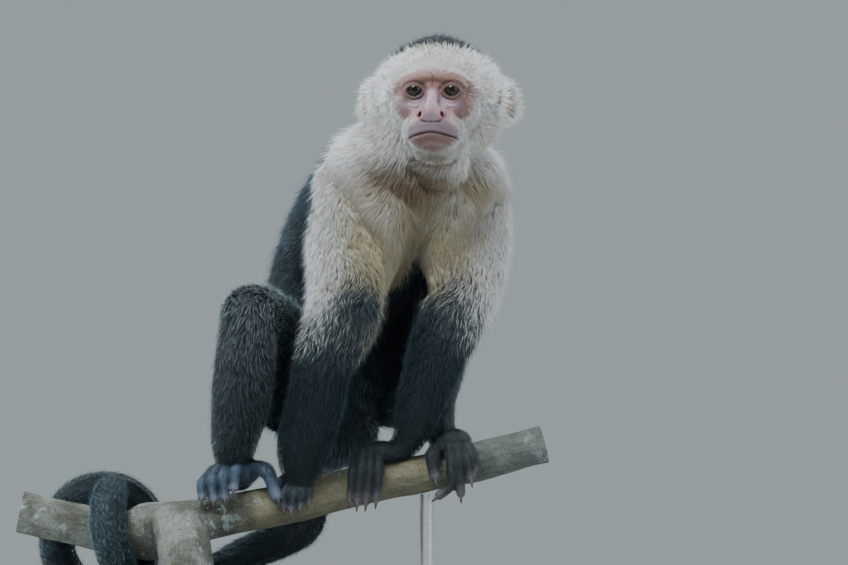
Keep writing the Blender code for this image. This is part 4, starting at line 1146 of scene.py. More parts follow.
root = at_roots(skin_points)
normal = unit(at_roots(skin_normals))
root_map = at_roots(flat, loops)
lie = at_roots(skin_lie)
lie = unit(lie - normal * (lie * normal).sum(axis=1, keepdims=True))
height = 0.8 * at_roots(skin_depth)
x, y, z = to_head(root).T
below_chin = smoothstep(-0.037, -0.043, z) * smoothstep(0.02, 0.012, np.abs(x))
height += CHIN_LIFT * below_chin * smoothstep(-0.026, -0.034, y)
region_share = np.column_stack([at_roots(skin_regions[name]) for name in REGIONS])
stray = CHANCE.random(TUFT_COUNT) < STRAYS
length = at_roots(skin_length) * CHANCE.uniform(0.78, 1.12, TUFT_COUNT) * np.where(stray, 1.28, 1.0)
is_pale = CHANCE.random(TUFT_COUNT) < smoothstep(0.08, 0.92, at_roots(pale))
tip_share, warm_share, throat_share = at_roots(tips), at_roots(warm), at_roots(throat)
print("pale tufts:", int(is_pale.sum()), "of", TUFT_COUNT)

# %% [markdown]
# Hair gathers into locks. A few roots are made leaders, every other tuft leans towards the tip of its
# nearest leader, and neighbours share a slight swirl. Without this the coat looks like a brush.
# %% Locks
SWIRLS = ((0.03, 0.16), (0.011, 0.13))  # length of a wave, and how far it turns the hair
LEADERS, LEAST_RISE, MOST_RISE = 0.13, 0.16, 0.78
swirl = np.zeros(TUFT_COUNT)
for size, strength in SWIRLS:
    for _ in range(5):
        wave = unit(CHANCE.normal(size=3)) * 2 * math.pi / size
        swirl += strength * np.sin(root @ wave + CHANCE.uniform(0, 6.28)) / 1.6
swirl += CHANCE.normal(0, 0.1, TUFT_COUNT) * np.where(stray, 2.0, 1.0)
across = np.cross(normal, lie)
heading = lie * np.cos(swirl)[:, None] + across * np.sin(swirl)[:, None]
rise = np.clip(height / (0.64 * np.maximum(length, 1e-4)), LEAST_RISE, MOST_RISE)
rise = rise * CHANCE.uniform(0.8, 1.15, TUFT_COUNT)
rise = np.clip(rise * np.where(stray, 1.35, 1.0), 0.12, 0.88)[:, None]
late = rise * np.where(stray, 0.6, 0.35)[:, None]
half = root + (heading * np.sqrt(1 - rise**2) + normal * rise) * (0.45 * length)[:, None]
tip = half + (heading * np.sqrt(1 - late**2) + normal * late) * (0.55 * length)[:, None]

leaders = np.flatnonzero(CHANCE.random(TUFT_COUNT) < LEADERS)
tree = KDTree(len(leaders))
for place, leader in enumerate(leaders):
    tree.insert(root[leader], place)
tree.balance()
leader = np.array([leaders[tree.find(point)[1]] for point in root])
reach = np.linalg.norm(root[leader] - root, axis=1)
head_share = region_share[:, REGIONS.index("head")]
pull = (0.3 + 0.14 * head_share) * smoothstep(1.0, 0.25, reach / np.maximum(0.55 * length, 1e-4))
alike = (lie * lie[leader]).sum(axis=1) > 0.5
pull = (pull * ~stray * alike)[:, None]
tip = tip + (tip[leader] - tip) * pull
half = half + (half[leader] - half) * pull * 0.35
print("locks:", len(leaders))


# %% [markdown]
# A tuft is a thin closed spindle of six triangles: a point under the skin, a three-sided ring where
# it bends over, and a point at the tip. Its colour runs from a darker root, which is painted shade deep
# in the coat, to a lighter tip, and tufts of one lock are alike, so the locks show as they do in a real
# coat.
# %% Colour and width of the tufts
# the blue in the grey tips is a painted sky reflection
GREY_HALF = (0.084, 0.112, 0.128)
lock_tone = CHANCE.normal(0, 1, TUFT_COUNT)[leader]
own_tone = CHANCE.normal(0, 1, TUFT_COUNT)
tone = np.clip(1 + (0.05 + 0.04 * head_share) * lock_tone + 0.05 * own_tone, 0.7, 1.3)[:, None]
warm_tuft = np.clip(warm_share + 0.1 * lock_tone, 0, 1)
throat_tuft = np.clip(throat_share * (1 + 0.35 * own_tone), 0, 1)
grey_tip = np.clip(tip_share * (0.08 + 1.5 * CHANCE.random(TUFT_COUNT) ** 2.6) + 0.02 * lock_tone, 0, 1)


def tuft_colours(light, light_warm, dark, dark_grey):
    """Colours of one ring of all tufts, from the pale pair and the dark pair."""
    pale_ring = np.asarray(light) + (np.asarray(light_warm) - light) * warm_tuft[:, None]
    pale_ring = mixed(pale_ring * tone, THROAT_BROWN_AND_SHADE, 0.88 * throat_tuft)
    dark_ring = (np.asarray(dark) + (np.asarray(dark_grey) - dark) * grey_tip[:, None]) * tone
    dark_ring *= 1 - 0.8 * head_share[:, None]
    return np.where(is_pale[:, None], pale_ring, dark_ring)


tuft_rings = (tuft_colours(CREAM_ROOT, TAN_ROOT, DARK_ROOT, DARK_ROOT),
              tuft_colours(CREAM, TAN, DARK, GREY_HALF),
              tuft_colours(CREAM_TIP, TAN_TIP, DARK_TIP, GREY_TIP))
THINNEST, WIDEST, STRAY_WIDTH = 0.0002, 0.00058, 0.45
width = np.clip(0.05 * length, THINNEST, WIDEST) * CHANCE.uniform(0.75, 1.25, TUFT_COUNT)
width *= (1 - 0.12 * is_pale) * np.where(stray, STRAY_WIDTH, 1.0)
print("tuft widths, mm:", in_mm(width))


# %% [markdown]
# One function turns chosen tufts into a mesh. All its points and faces are laid out in arrays first,
# because a quarter of a million tufts would take minutes one by one. A tuft has five points: the sunk
# root, the ring of three and the tip. It gets a small patch of the baking map, and a strand map.
# %% Building one piece of coat
ROOT_SUNK = 0.0006
SIDES = [(2, 1, 0), (3, 2, 0), (1, 3, 0), (1, 2, 4), (2, 3, 4), (3, 1, 4)]
COLUMNS = [(1, 1), (0, 1), (0.5, 0), (2, 1), (1, 1), (1.5, 0), (3, 1), (2, 1), (2.5, 0),
           (0, 1), (1, 1), (0.5, 2), (1, 1), (2, 1), (1.5, 2), (2, 1), (3, 1), (2.5, 2)]
PATCH = 0.003


def tuft_mesh(name, chosen):
    """The chosen tufts as one mesh with its maps and colours."""
    bent = half[chosen]
    ahead, after = unit(bent - root[chosen]), unit(tip[chosen] - bent)
    wide = unit(np.cross(normal[chosen], ahead))
    up = np.cross(unit(ahead + after), wide)
    sunk = root[chosen] - normal[chosen] * ROOT_SUNK
    w = width[chosen][:, None]
    ring = [bent - wide * w * 0.5, bent + wide * w * 0.5, bent + up * w * 0.42]
    places = np.stack([sunk, *ring, tip[chosen]], axis=1)
    count = len(chosen)
    faces = (np.array(SIDES)[None] + 5 * np.arange(count)[:, None, None]).reshape(-1, 3)
    new = bpy.data.meshes.new(name)
    new.vertices.add(count * 5)
    new.vertices.foreach_set("co", places.astype(np.float32).ravel())
    new.loops.add(faces.size)
    new.loops.foreach_set("vertex_index", faces.ravel().astype(np.int32))
    new.polygons.add(len(faces))
    new.polygons.foreach_set("loop_start", np.arange(0, faces.size, 3, dtype=np.int32))
    new.update(calc_edges=True)
    new.shade_smooth()
    strand = np.tile(np.array(COLUMNS, np.float32) / (3, 2), (count, 1, 1))
    spots = root_map[chosen]
    low, high = spots.min(axis=0), spots.max(axis=0)
    spots = (spots - low) / (high - low) * (1 - PATCH)
    bake = strand * PATCH + spots[:, None, :]
    strand[:, :, 0] += np.floor(CHANCE.random(count) * 32)[:, None]
    for layer, values in (("OFBake", bake), ("Strand", strand)):
        new.uv_layers.new(name=layer).uv.foreach_set("vector", values.astype(np.float32).ravel())
    colours = np.stack([tuft_rings[ring][chosen] for ring in (0, 1, 1, 1, 2)], axis=1)
    paint_points(new, "Coat", np.clip(colours.reshape(-1, 3), 0, 1))
    return placed(name, new)


# %% [markdown]
# The coat is kept in pieces by part of the body, because a piece of more than two hundred thousand
# triangles is thinned when it is saved. A part with too many tufts is divided by height.
# %% The pieces of the coat
MOST_TUFTS = 33000
GROUPS = {"head": ("head",), "trunk": ("trunk",), "arms": ("arm_right", "arm_left"),
          "legs": ("leg_right", "leg_left"), "tail_and_paws": ("tail", "paws")}
strongest = region_share.argmax(axis=1)
coats = []
for group, names in GROUPS.items():
    members = np.flatnonzero(np.isin(strongest, [REGIONS.index(name) for name in names]))
    parts = -(-len(members) // MOST_TUFTS)
    order = members[np.argsort(root[members, 2])]
    for number, chosen in enumerate(np.array_split(order, parts), 1):
        label = f"coat_{group}_{number}" if parts > 1 else f"coat_{group}"
        coats.append(tuft_mesh(label, np.sort(chosen)))
        print(label, len(chosen), "tufts,", len(coats[-1].data.polygons), "triangles")


# %% [markdown]
# An eye is a dark ball with a clear bulge in front. The whole eye is one smooth closed ball here: the
# front is raised for the cornea, and a flat map of the view along the gaze carries the pupil and iris.
# %% The eyes
CORNEA_HALF_ANGLE, CORNEA_BULGE = math.radians(38), 0.0006


def made_here(name):
    """The new active object, named."""
    made = bpy.context.active_object
    made.name = made.data.name = name
    return made


def close_up():
    """Turns all faces outwards and leaves edit mode."""
    bpy.ops.mesh.select_all(action="SELECT")
    bpy.ops.mesh.normals_make_consistent(inside=False)
    bpy.ops.object.mode_set(mode="OBJECT")


eyes = []
for side in ("right", "left"):
    take()
    bpy.ops.mesh.primitive_uv_sphere_add(segments=64, ring_count=40, radius=EYE_RADIUS)
    eye = made_here(f"eyeball_{side}")
    edit_all(eye)
    bpy.ops.transform.rotate(value=math.radians(90), orient_axis="X", center_override=(0, 0, 0))
    bpy.ops.object.mode_set(mode="OBJECT")
    ball_points = points_of(eye.data)
    angle = np.arccos(np.clip(-ball_points[:, 1] / EYE_RADIUS, -1, 1))
    bulge = CORNEA_BULGE * smoothstep(CORNEA_HALF_ANGLE, 0.15, angle)
    set_points(eye.data, ball_points * (1 + bulge / EYE_RADIUS)[:, None])
    gaze = eye.data.uv_layers.new(name="Gaze")
    places = points_of(eye.data) / EYE_RADIUS
    for loop in eye.data.loops:
        x, _, z = places[loop.vertex_index]
        gaze.uv[loop.index].vector = (x, z)
    eye.data.transform(Matrix.Translation(middle(f"eye_{side}")))
    eye.data.shade_smooth()
    eyes.append(eye)
    print(eye.name, "at", tuple(round(c, 4) for c in middle(f"eye_{side}")))


# %% [markdown]
# A claw is a narrow curved horn, one on each digit. It is drawn out of a disc by extruding and
# shrinking it in steps, and its points are then moved to bend it. One claw is made, and every digit
# gets its own copy, turned to its last joint.
# %% The claws
CLAW_LENGTH, CLAW_RADIUS, CLAW_STEPS, CLAW_BEND = 0.0064, 0.00165, 7, 0.0009


def claw_width(step):
    """The claw's width after this many steps, as a share of its width at the root."""
    return 1 - 0.85 * (step / CLAW_STEPS) ** 1.6


take()
bpy.ops.mesh.primitive_circle_add(vertices=14, radius=CLAW_RADIUS, fill_type="NGON")
claw = made_here("claw")
edit_all(claw)
for step in range(1, CLAW_STEPS + 1):
    bpy.ops.mesh.extrude_region_move(TRANSFORM_OT_translate={"value": (0, 0, CLAW_LENGTH / CLAW_STEPS)})
    narrower = claw_width(step) / claw_width(step - 1)
    centre = (0, 0, step * CLAW_LENGTH / CLAW_STEPS)
    bpy.ops.transform.resize(value=(narrower,) * 3, center_override=centre)
close_up()
claw_points = points_of(claw.data)
along = claw_points[:, 2] / CLAW_LENGTH
bend = np.sin(along * math.pi * 0.9) - along**2
claw_points[:, 1] = claw_points[:, 1] * 0.95 - CLAW_BEND * bend
claw_points[:, 0] *= 0.8
set_points(claw.data, claw_points)
claws = []
for name, (_, _, digits) in PAWS.items():
    copies = []
    for points, radius in digits:
        before, end = (np.array(point, float) for point in points[-2:])
        ahead = unit(end - before)
        down = unit(np.array((0.0, 1.0, 0.0)) - ahead * ahead[1])
        start = end + (0.3 * ahead - 0.25 * down) * radius
        axes = np.column_stack([np.cross(down, ahead), down, ahead])
        place = Matrix.Translation(start) @ Matrix(axes).to_4x4()
        copies.append(placed("claw", claw.data.copy()))
        copies[-1].data.transform(place)
    take(*copies)
    bpy.ops.object.join()
    claws.append(made_here(f"claws_{name}"))
    claws[-1].data.shade_smooth()
    print(claws[-1].name, len(copies), "claws")
bpy.data.objects.remove(claw)


# %% [markdown]
# The branch is grey-tan, thin-barked wood with a knot and a cut side limb at the left. Limbs along
# its stations are melted into one body, and the ends are sawn off with bisect, which also closes them.
# %% The branch
PERCH = metres((-227, 0, 112.1, 15), (-217, 0, 110, 15), (-168, 0, 98.5, 15), (-146, 0, 95, 15.5),
               (-126.5, -4, 96.5, 20), (-105, -2, 100, 18), (-82.6, 0, 105.4, 15),
               (-30.1, 0, 115.5, 14.5), (-0.7, 0, 122.9, 14), (38.5, 0, 131.7, 13.6), (63, 0, 136, 13.8),
               (105, 3, 145.3, 13.5), (150, 6, 157, 13.8), (160, 6.7, 159.6, 13.8))
STUB = metres((-112, -8, 98, 19), (-106, -30, 98.5, 19), (-101, -47, 83, 19.5), (-98.5, -53, 56, 20.5),
              (-97.5, -55.5, 46, 20.7))
KNOT, KNOT_REACH = metres((-127.5, -8, 96.5), (19, 19, 20.5)), 0.026
# where each end is sawn off, and where its cut faces
SAWN = ((PERCH[1][:3], (-0.979, 0, 0.204)), (PERCH[-2][:3], (0.968, 0.065, 0.245)),
        (STUB[-2][:3], (0.09, -0.2, -0.97)))
# scars of lost twigs: place, size and depth
SCARS = metres(((-150, -15.5, 98.5), 4.2, 1.2), ((20, -13, 130), 3, 0.9),
               ((104, -9.5, 150), 3.4, 1), ((-70, -13, 111), 3, 0.9))
perch = melted("branch", [*limb(PERCH), *limb(STUB), ball(*KNOT)], 0.0017, 5)
edit_all(perch)
for place, facing in SAWN:
    bpy.ops.mesh.select_all(action="SELECT")
    bpy.ops.mesh.bisect(plane_co=place, plane_no=facing, use_fill=True, clear_outer=True)
close_up()
print("branch:", len(perch.data.polygons), "faces, box", [round(c, 4) for c in perch.dimensions])


# %% [markdown]
# Bark has ridges along the wood, dents, warts round the knot and round scars. They move the points
# along their normals. Each point keeps its place round and along the wood, so that the streaks of the
# bark and the year rings on the cuts can follow the branch.
# %% Bark on the branch
bark_points, bark_normals = points_of(perch.data), normals_of(perch.data)
wood = [(samples(PERCH), np.array((0.0, 1.0, 0.0))), (samples(STUB), np.array((1.0, 0.0, 0.0)))]
grain = np.zeros((len(bark_points), 3))
nearest = np.full(len(bark_points), np.inf)
for (centres, radii, tangents, _), aside in wood:
    reach = np.linalg.norm(bark_points[:, None] - centres[None], axis=2) - radii
    best = reach.argmin(axis=1)
    least = reach[np.arange(len(best)), best]
    closer = least < nearest
    out = bark_points - centres[best]
    a = unit(np.cross(tangents[best], aside))
    b = np.cross(tangents[best], a)
    run = np.concatenate([[0], np.cumsum(np.linalg.norm(np.diff(centres, axis=0), axis=1))])
    here = np.column_stack([(out * a).sum(1), (out * b).sum(1), run[best] + (out * tangents[best]).sum(1)])
    grain[closer] = here[closer]
    nearest = np.minimum(nearest, least)
relief = np.zeros(len(bark_points))
round_share = grain[:, :2] / np.maximum(np.linalg.norm(grain[:, :2], axis=1, keepdims=True), 1e-6)
for index, ((gx, gy), s) in enumerate(zip(round_share, grain[:, 2])):
    ridge = noise.noise((gx * 3.4, gy * 3.4, s * 34))
    fine = noise.noise((gx * 7.5, gy * 7.5, s * 90 + 7))
    broad = noise.noise((gx * 0.9, gy * 0.9, s * 28 + 3))
    relief[index] = 0.0005 * ridge + 0.0003 * fine + 0.001 * broad
knobbly = hump(np.linalg.norm(bark_points - KNOT[0], axis=1), KNOT_REACH)
warts = [noise.noise(tuple(point * 240)) + 0.6 * noise.noise(tuple(point * 560)) for point in bark_points]
warts = np.array(warts)
relief += 0.0011 * warts * knobbly
on_cut = np.zeros(len(bark_points), bool)
for place, facing in SAWN:
    on_cut |= np.abs((bark_points - place) @ np.array(facing) / np.linalg.norm(facing)) < 1e-5
relief[on_cut] = -0.0002
for place, size, depth in SCARS:
    away = np.linalg.norm(bark_points - place, axis=1)
    relief += depth * hump(away - size, size * 0.45) - 1.3 * depth * hump(away, size * 0.7)
set_points(perch.data, bark_points + bark_normals * relief[:, None])
layer = perch.data.attributes.new("Grain", "FLOAT_VECTOR", "POINT")
layer.data.foreach_set("vector", grain.astype(np.float32).ravel())
is_cut = np.array([len(face.vertices) > 12 for face in perch.data.polygons], np.float32)
layer = perch.data.attributes.new("Sawn", "FLOAT", "FACE")
layer.data.foreach_set("value", is_cut)
take(perch)
bpy.ops.object.shade_smooth_by_angle(angle=math.radians(50))
print("bark relief, mm:", in_mm(relief))


# %% [markdown]
# Two polished rods carry the branch. Each is turned from one profile: spin draws it round its axis, so
# the rod, its collar and the small shoulders between them are one closed body.
# %% The rods
ROD_RADIUS, COLLAR_RADIUS, COLLAR_HEIGHT = 0.005, 0.011, 0.007
SOFT_EDGE, SHOULDER, TOP_SHORT = 0.0005, 0.0012, 0.002


def turned_rod(name, node):
    """A turned rod with its collar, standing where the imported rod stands."""
    low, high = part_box(node)
    x, y = (low[0] + high[0]) / 2, (low[1] + high[1]) / 2
    collar_top, top = low[2] + COLLAR_HEIGHT, high[2] - TOP_SHORT
    profile = ((0, low[2]), (COLLAR_RADIUS - SOFT_EDGE, low[2]), (COLLAR_RADIUS, low[2] + SOFT_EDGE),
               (COLLAR_RADIUS, collar_top - SHOULDER), (COLLAR_RADIUS - SHOULDER, collar_top),
               (ROD_RADIUS + SHOULDER, collar_top), (ROD_RADIUS, collar_top + SHOULDER),
               (ROD_RADIUS, top), (0, top))
    take()
    bpy.ops.mesh.primitive_plane_add(size=0.001)
    rod = made_here(name)
    edit_all(rod)
    bpy.ops.mesh.delete(type="VERT")
    bpy.ops.object.mode_set(mode="OBJECT")
    edges = [(i, i + 1) for i in range(len(profile) - 1)]
    rod.data.from_pydata([(x + r, y, z) for r, z in profile], edges, [])
    edit_all(rod)
    bpy.ops.mesh.spin(steps=48, angle=math.tau, center=(x, y, 0), axis=(0, 0, 1))
    bpy.ops.mesh.select_all(action="SELECT")
    bpy.ops.mesh.remove_doubles(threshold=1e-6)
    close_up()
    bpy.ops.object.shade_smooth_by_angle(angle=math.radians(35))
    print(name, len(rod.data.polygons), "faces")
    return rod


rods = [turned_rod(f"rod_{side}", f"stand_rod_{side}") for side in ("left", "right")]


# %% [markdown]
# Every finish below is written as plain arithmetic. A small class wraps a shader socket, so that
# a + b or 1 - a adds the Math node, and one method adds any other node: its settings first, then its
# sockets. What varies goes only into colour, roughness and the bump; the rest sits on the shader.
# %% Shader sockets as plain arithmetic
class Socket:
    """One output of a node, which takes part in arithmetic."""

    def __init__(self, finish, output):
        self.finish, self.output = finish, output

    def math(self, operation, other, flipped=False):
        """A Math node of this output and another output or number."""
        pair = (other, self) if flipped else (self, other)
        return self.finish.node("ShaderNodeMath", {0: pair[0], 1: pair[1]}, operation=operation)

    def __add__(self, other):
        return self.math("ADD", other)

    def __sub__(self, other):
        return self.math("SUBTRACT", other)

    def __mul__(self, other):
        return self.math("MULTIPLY", other)

    def __rsub__(self, other):
        return self.math("SUBTRACT", other, flipped=True)

    __radd__, __rmul__ = __add__, __mul__


# %% A material in the making
class Finish:
    """A material in the making."""

    def __init__(self, name):
        self.material = bpy.data.materials.new(name)
        self.material.use_nodes = True
        self.tree = self.material.node_tree
        self.tree.nodes.clear()

    def node(self, kind, sockets=None, output=0, **settings):
        """Adds a node: its settings, then a value or a link for each socket."""
        made = self.tree.nodes.new(kind)
        for key, value in settings.items():
            setattr(made, key, value)
        for key, value in (sockets or {}).items():
            if isinstance(value, Socket):
                self.tree.links.new(value.output, made.inputs[key])
            elif isinstance(value, tuple) and made.inputs[key].type == "RGBA":
                made.inputs[key].default_value = (*value, 1)
            else:
                made.inputs[key].default_value = value
        return Socket(self, made.outputs[output])

    def place(self):
        """The place on the object."""
        return self.node("ShaderNodeTexCoord", output="Object")

    def attribute(self, name, output="Color"):
        return self.node("ShaderNodeAttribute", output=output, attribute_name=name)

    def noise(self, vector, scale, detail=3.0, roughness=0.5, distortion=0.0):
        sockets = {"Vector": vector, "Scale": scale, "Detail": detail, "Roughness": roughness,
                   "Distortion": distortion}
        return self.node("ShaderNodeTexNoise", sockets)

    def cell_edges(self, vector, scale):
        """The distance to the border between random cells."""
        return self.node("ShaderNodeTexVoronoi", {"Vector": vector, "Scale": scale}, output="Distance",
                         feature="DISTANCE_TO_EDGE")

    def ramp(self, value, low, high):
        """0 at low, 1 at high, with a soft start and end."""
        sockets = {"Value": value, "From Min": low, "From Max": high}
        return self.node("ShaderNodeMapRange", sockets, interpolation_type="SMOOTHSTEP")

    def length(self, vector):
        """The length of a vector."""
        return self.node("ShaderNodeVectorMath", {0: vector}, output="Value", operation="LENGTH")

    def axis(self, vector, name):
        """One part of a vector."""
        return self.node("ShaderNodeSeparateXYZ", {"Vector": vector}, output=name)

    def mix(self, a, b, share):
        """Colour a, with this share of colour b."""
        return self.node("ShaderNodeMix", {"Factor": share, 6: a, 7: b}, output=2, data_type="RGBA")

    def shade(self, colour, value):
        """The colour multiplied by a value."""
        return self.node("ShaderNodeVectorMath", {0: colour, "Scale": value}, operation="SCALE")

    def stretch(self, vector, scale):
        """The place, with each axis multiplied by its own number."""
        return self.node("ShaderNodeMapping", {"Vector": vector, "Scale": scale})

    def bump(self, height, distance, strength):
        """A normal tilted by a height."""
        return self.node("ShaderNodeBump", {"Height": height, "Distance": distance, "Strength": strength})

    def done(self, colour, roughness, normal=None, **fixed):
        """Ends in the shader, with the fixed values on its own sockets."""
        sockets = {"Base Color": colour, "Roughness": roughness}
        if normal is not None:
            sockets["Normal"] = normal
        for key, value in fixed.items():
            sockets[key.replace("_", " ")] = value
        shader = self.node("ShaderNodeBsdfPrincipled", sockets, output="BSDF")
        out = self.tree.nodes.new("ShaderNodeOutputMaterial")
        self.tree.links.new(shader.output, out.inputs["Surface"])
        print("finish:", self.material.name, len(self.tree.nodes), "nodes")
        return self.material


# %% [markdown]
# Skin is never one colour: fine blotches, pores and crossing creases are laid over the painted points.
# %% The skin's finish
f = Finish("bare_skin")
place = f.place()
paint = f.attribute("Coat")
blotch = f.noise(place, 260, 4)
veins = f.noise(place, 900, 3)
colour = f.shade(paint, 0.8 + 0.28 * blotch + 0.12 * veins)
creases = f.cell_edges(f.stretch(place, (1, 1, 1.5)), 1100)
pores = f.noise(place, 2600, 2)
height = f.ramp(creases, 0.0, 0.16) * 0.6 + pores * 0.7
skin_finish = f.done(colour, 0.4 + 0.2 * blotch, f.bump(height, 0.00022, 0.55), Subsurface_Weight=0.1,
                     Subsurface_Scale=0.0015, Subsurface_Radius=(1.0, 0.35, 0.2), Specular_IOR_Level=0.42)

# %% [markdown]
# Fur shines softly along its hairs. Each tuft has its own strand map, across and along, and fine
# lines on it break the tuft into hairs, in colour, gloss and bump.
# %% The coat's finish
f = Finish("coat")
strand = f.node("ShaderNodeUVMap", uv_map="Strand")
hairs = f.noise(f.stretch(strand, (14, 1.1, 1)), 1.0, 3, 0.6)
patches = f.noise(f.place(), 95, 3)
paint = f.attribute("Coat")
colour = f.shade(paint, 0.7 + 0.4 * hairs + 0.2 * patches)
coat_finish = f.done(colour, 0.36 + 0.2 * hairs, f.bump(hairs, 0.00018, 0.4), Sheen_Weight=0.08,
                     Sheen_Roughness=0.4, Subsurface_Weight=0.35, Subsurface_Scale=0.0008,
                     Subsurface_Radius=(1.0, 0.9, 0.8), Specular_IOR_Level=0.28)

# %% [markdown]
# The eye is dark brown, nearly black: a black pupil, an iris with fine light streaks, a darker rim,
# and brown-stained white that hardly shows. A clear coat of tears makes the highlight.
# %% The eye's finish
f = Finish("eye")
gaze = f.node("ShaderNodeUVMap", uv_map="Gaze")
away = f.length(gaze)
round_it = f.axis(gaze, "Y").math("ARCTAN2", f.axis(gaze, "X"))
ray = f.node("ShaderNodeCombineXYZ", {"X": round_it * 7.0, "Y": away * 2.2})
streaks = f.noise(ray, 2.2, 4, 0.65)
iris = f.mix((0.006, 0.005, 0.004), (0.022, 0.012, 0.007), f.ramp(streaks, 0.35, 0.72))
light_ring = f.ramp(away, 0.27, 0.36) * f.ramp(away, 0.46, 0.36)
iris = f.mix(iris, (0.034, 0.017, 0.009), light_ring * 0.5)
iris = f.mix(iris, (0.006, 0.004, 0.003), f.ramp(away, 0.49, 0.585))
white = f.mix((0.13, 0.075, 0.055), (0.26, 0.17, 0.14), f.noise(f.place(), 600, 3))
colour = f.mix(iris, white, f.ramp(away, 0.585, 0.625))
colour = f.mix((0.002, 0.002, 0.002), colour, f.ramp(away, 0.235, 0.262))
eye_finish = f.done(colour, 0.06 + 0.05 * streaks, Coat_Weight=0.12, Coat_Roughness=0.03,
                    Specular_IOR_Level=0.32)


# %% [markdown]
# The bark is grey-tan, streaked along its grain, with fine dark cracks, pale lichen, some moss, and
# tan wear under the paws. Where it is sawn, the cuts show year rings: they are a sine of the distance
# from the branch's middle. The attribute of the cut faces switches between the two.
# %% The bark's finish
f = Finish("bark")
place = f.place()
grain_place = f.attribute("Grain", "Vector")
streaks = f.noise(f.stretch(grain_place, (420, 420, 85)), 1.0, 6, 0.65, 0.5)
crackle = f.cell_edges(f.stretch(grain_place, (330, 330, 70)), 1.0)
cracks = f.ramp(crackle, 0.06, 0.0) * f.ramp(streaks, 0.5, 0.66)
blotch = f.noise(place, 48, 6, 0.65)
fine = f.noise(place, 750, 5, 0.7)
lichen = f.ramp(f.noise(place, 120, 4, 0.55), 0.57, 0.64) * f.ramp(f.noise(place, 24, 3), 0.44, 0.6)
moss = f.ramp(f.noise(place, 210, 4, 0.6), 0.6, 0.68) * f.ramp(f.noise(place, 31, 2, 0.5, 0.3), 0.52, 0.64)
across = f.axis(place, "X")
under_paws = f.ramp(across, -0.075, -0.045) * f.ramp(across, 0.095, 0.06)
bark = f.mix((0.08, 0.082, 0.064), (0.18, 0.19, 0.165), f.ramp(blotch, 0.36, 0.62))
for layer, share in (
    ((0.275, 0.31, 0.305), f.ramp(streaks, 0.5, 0.72) * f.ramp(fine, 0.42, 0.6) * 0.8),  # pale streaks
    ((0.05, 0.042, 0.03), f.ramp(fine, 0.47, 0.36) * 0.75),  # dark specks
    ((0.055, 0.045, 0.033), cracks * 0.45),
    ((0.33, 0.41, 0.42), lichen * 0.65),
    ((0.095, 0.115, 0.045), moss * 0.7),
):
    bark = f.mix(bark, layer, share)
bark = f.shade(bark, 0.66 + 0.62 * fine)
bark = f.mix(bark, (0.17, 0.14, 0.062), under_paws * f.ramp(blotch, 0.3, 0.55) * 0.55)
bark = f.mix(bark, (0.07, 0.085, 0.085), f.ramp(across, 0.07, 0.105) * 0.5)  # greyer at the right
print("bark so far:", len(f.tree.nodes), "nodes")

# %% The sawn ends
in_rings = f.node("ShaderNodeVectorMath", {0: grain_place, 1: (1, 1, 0)}, operation="MULTIPLY")
wobble = f.noise(place, 220, 3)
ring = ((f.length(in_rings) + wobble * 0.0014) * 4600.0).math("SINE", 0.0)
saw = f.noise(f.stretch(place, (1, 1, 6)), 520, 3)
sawn_wood = f.mix((0.5, 0.375, 0.225), (0.345, 0.235, 0.13), f.ramp(ring, -0.4, 0.9))
sawn_wood = f.shade(sawn_wood, 0.8 + 0.35 * saw)
sawn = f.attribute("Sawn", "Fac")
height = (streaks * 0.9 + fine * 0.5 - cracks * 1.1) * (1 - sawn) + (saw * 0.5 + ring * 0.06) * sawn
colour = f.mix(bark, sawn_wood, sawn)
bark_finish = f.done(colour, 0.74 + 0.18 * fine, f.bump(height, 0.001, 0.75), Specular_IOR_Level=0.25)


# %% [markdown]
# Horn, stand paint and steel are alike in how they are made: one fine noise tints two close colours,
# and the same noise moves the roughness a little and makes the bump. Steel is brushed along its length.
# %% Horn, paint and steel
f = Finish("claw_horn")
grainy = f.noise(f.stretch(f.place(), (1, 1, 0.25)), 2600, 3)
colour = f.mix((0.022, 0.02, 0.022), (0.115, 0.1, 0.095), f.ramp(grainy, 0.35, 0.7))
horn_finish = f.done(colour, 0.28 + 0.2 * grainy, f.bump(grainy, 0.0001, 0.4))

f = Finish("stand_paint")
place = f.place()
speckle = f.noise(place, 1500, 3, 0.6)
cloud = f.noise(place, 28, 3)
colour = f.mix((0.055, 0.058, 0.062), (0.105, 0.108, 0.112), f.ramp(speckle, 0.4, 0.68))
colour = f.shade(colour, 0.86 + 0.28 * cloud)
paint_finish = f.done(colour, 0.42 + 0.16 * speckle, f.bump(speckle, 0.0003, 0.35))

f = Finish("steel")
place = f.place()
lines = f.noise(f.stretch(place, (1, 1, 60)), 90, 3, 0.6)
smear = f.noise(place, 55, 3)
colour = f.mix((0.4, 0.405, 0.41), (0.62, 0.62, 0.61), f.ramp(lines, 0.3, 0.7))
steel_finish = f.done(colour, 0.24 + 0.16 * smear + 0.05 * lines, f.bump(lines, 0.00008, 0.3), Metallic=1.0)

# %% [markdown]
# Each piece gets its finish and rides on the one body, and the imported solids it stands for are hidden.
# %% Finishes and body
FLESH = [name for name in frame["nodes"] if not name.startswith(("eye_", "perch", "stand_"))]
PALE_COATS = ("coat_head", "coat_trunk")


def ready(piece, finish, slot, *nodes):
    """Dresses a piece, puts it on the root body and hides the imported solids it stands for."""
    piece.data.materials.clear()
    piece.data.materials.append(finish)
    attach(piece, "root")
    if nodes:
        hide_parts(*nodes)


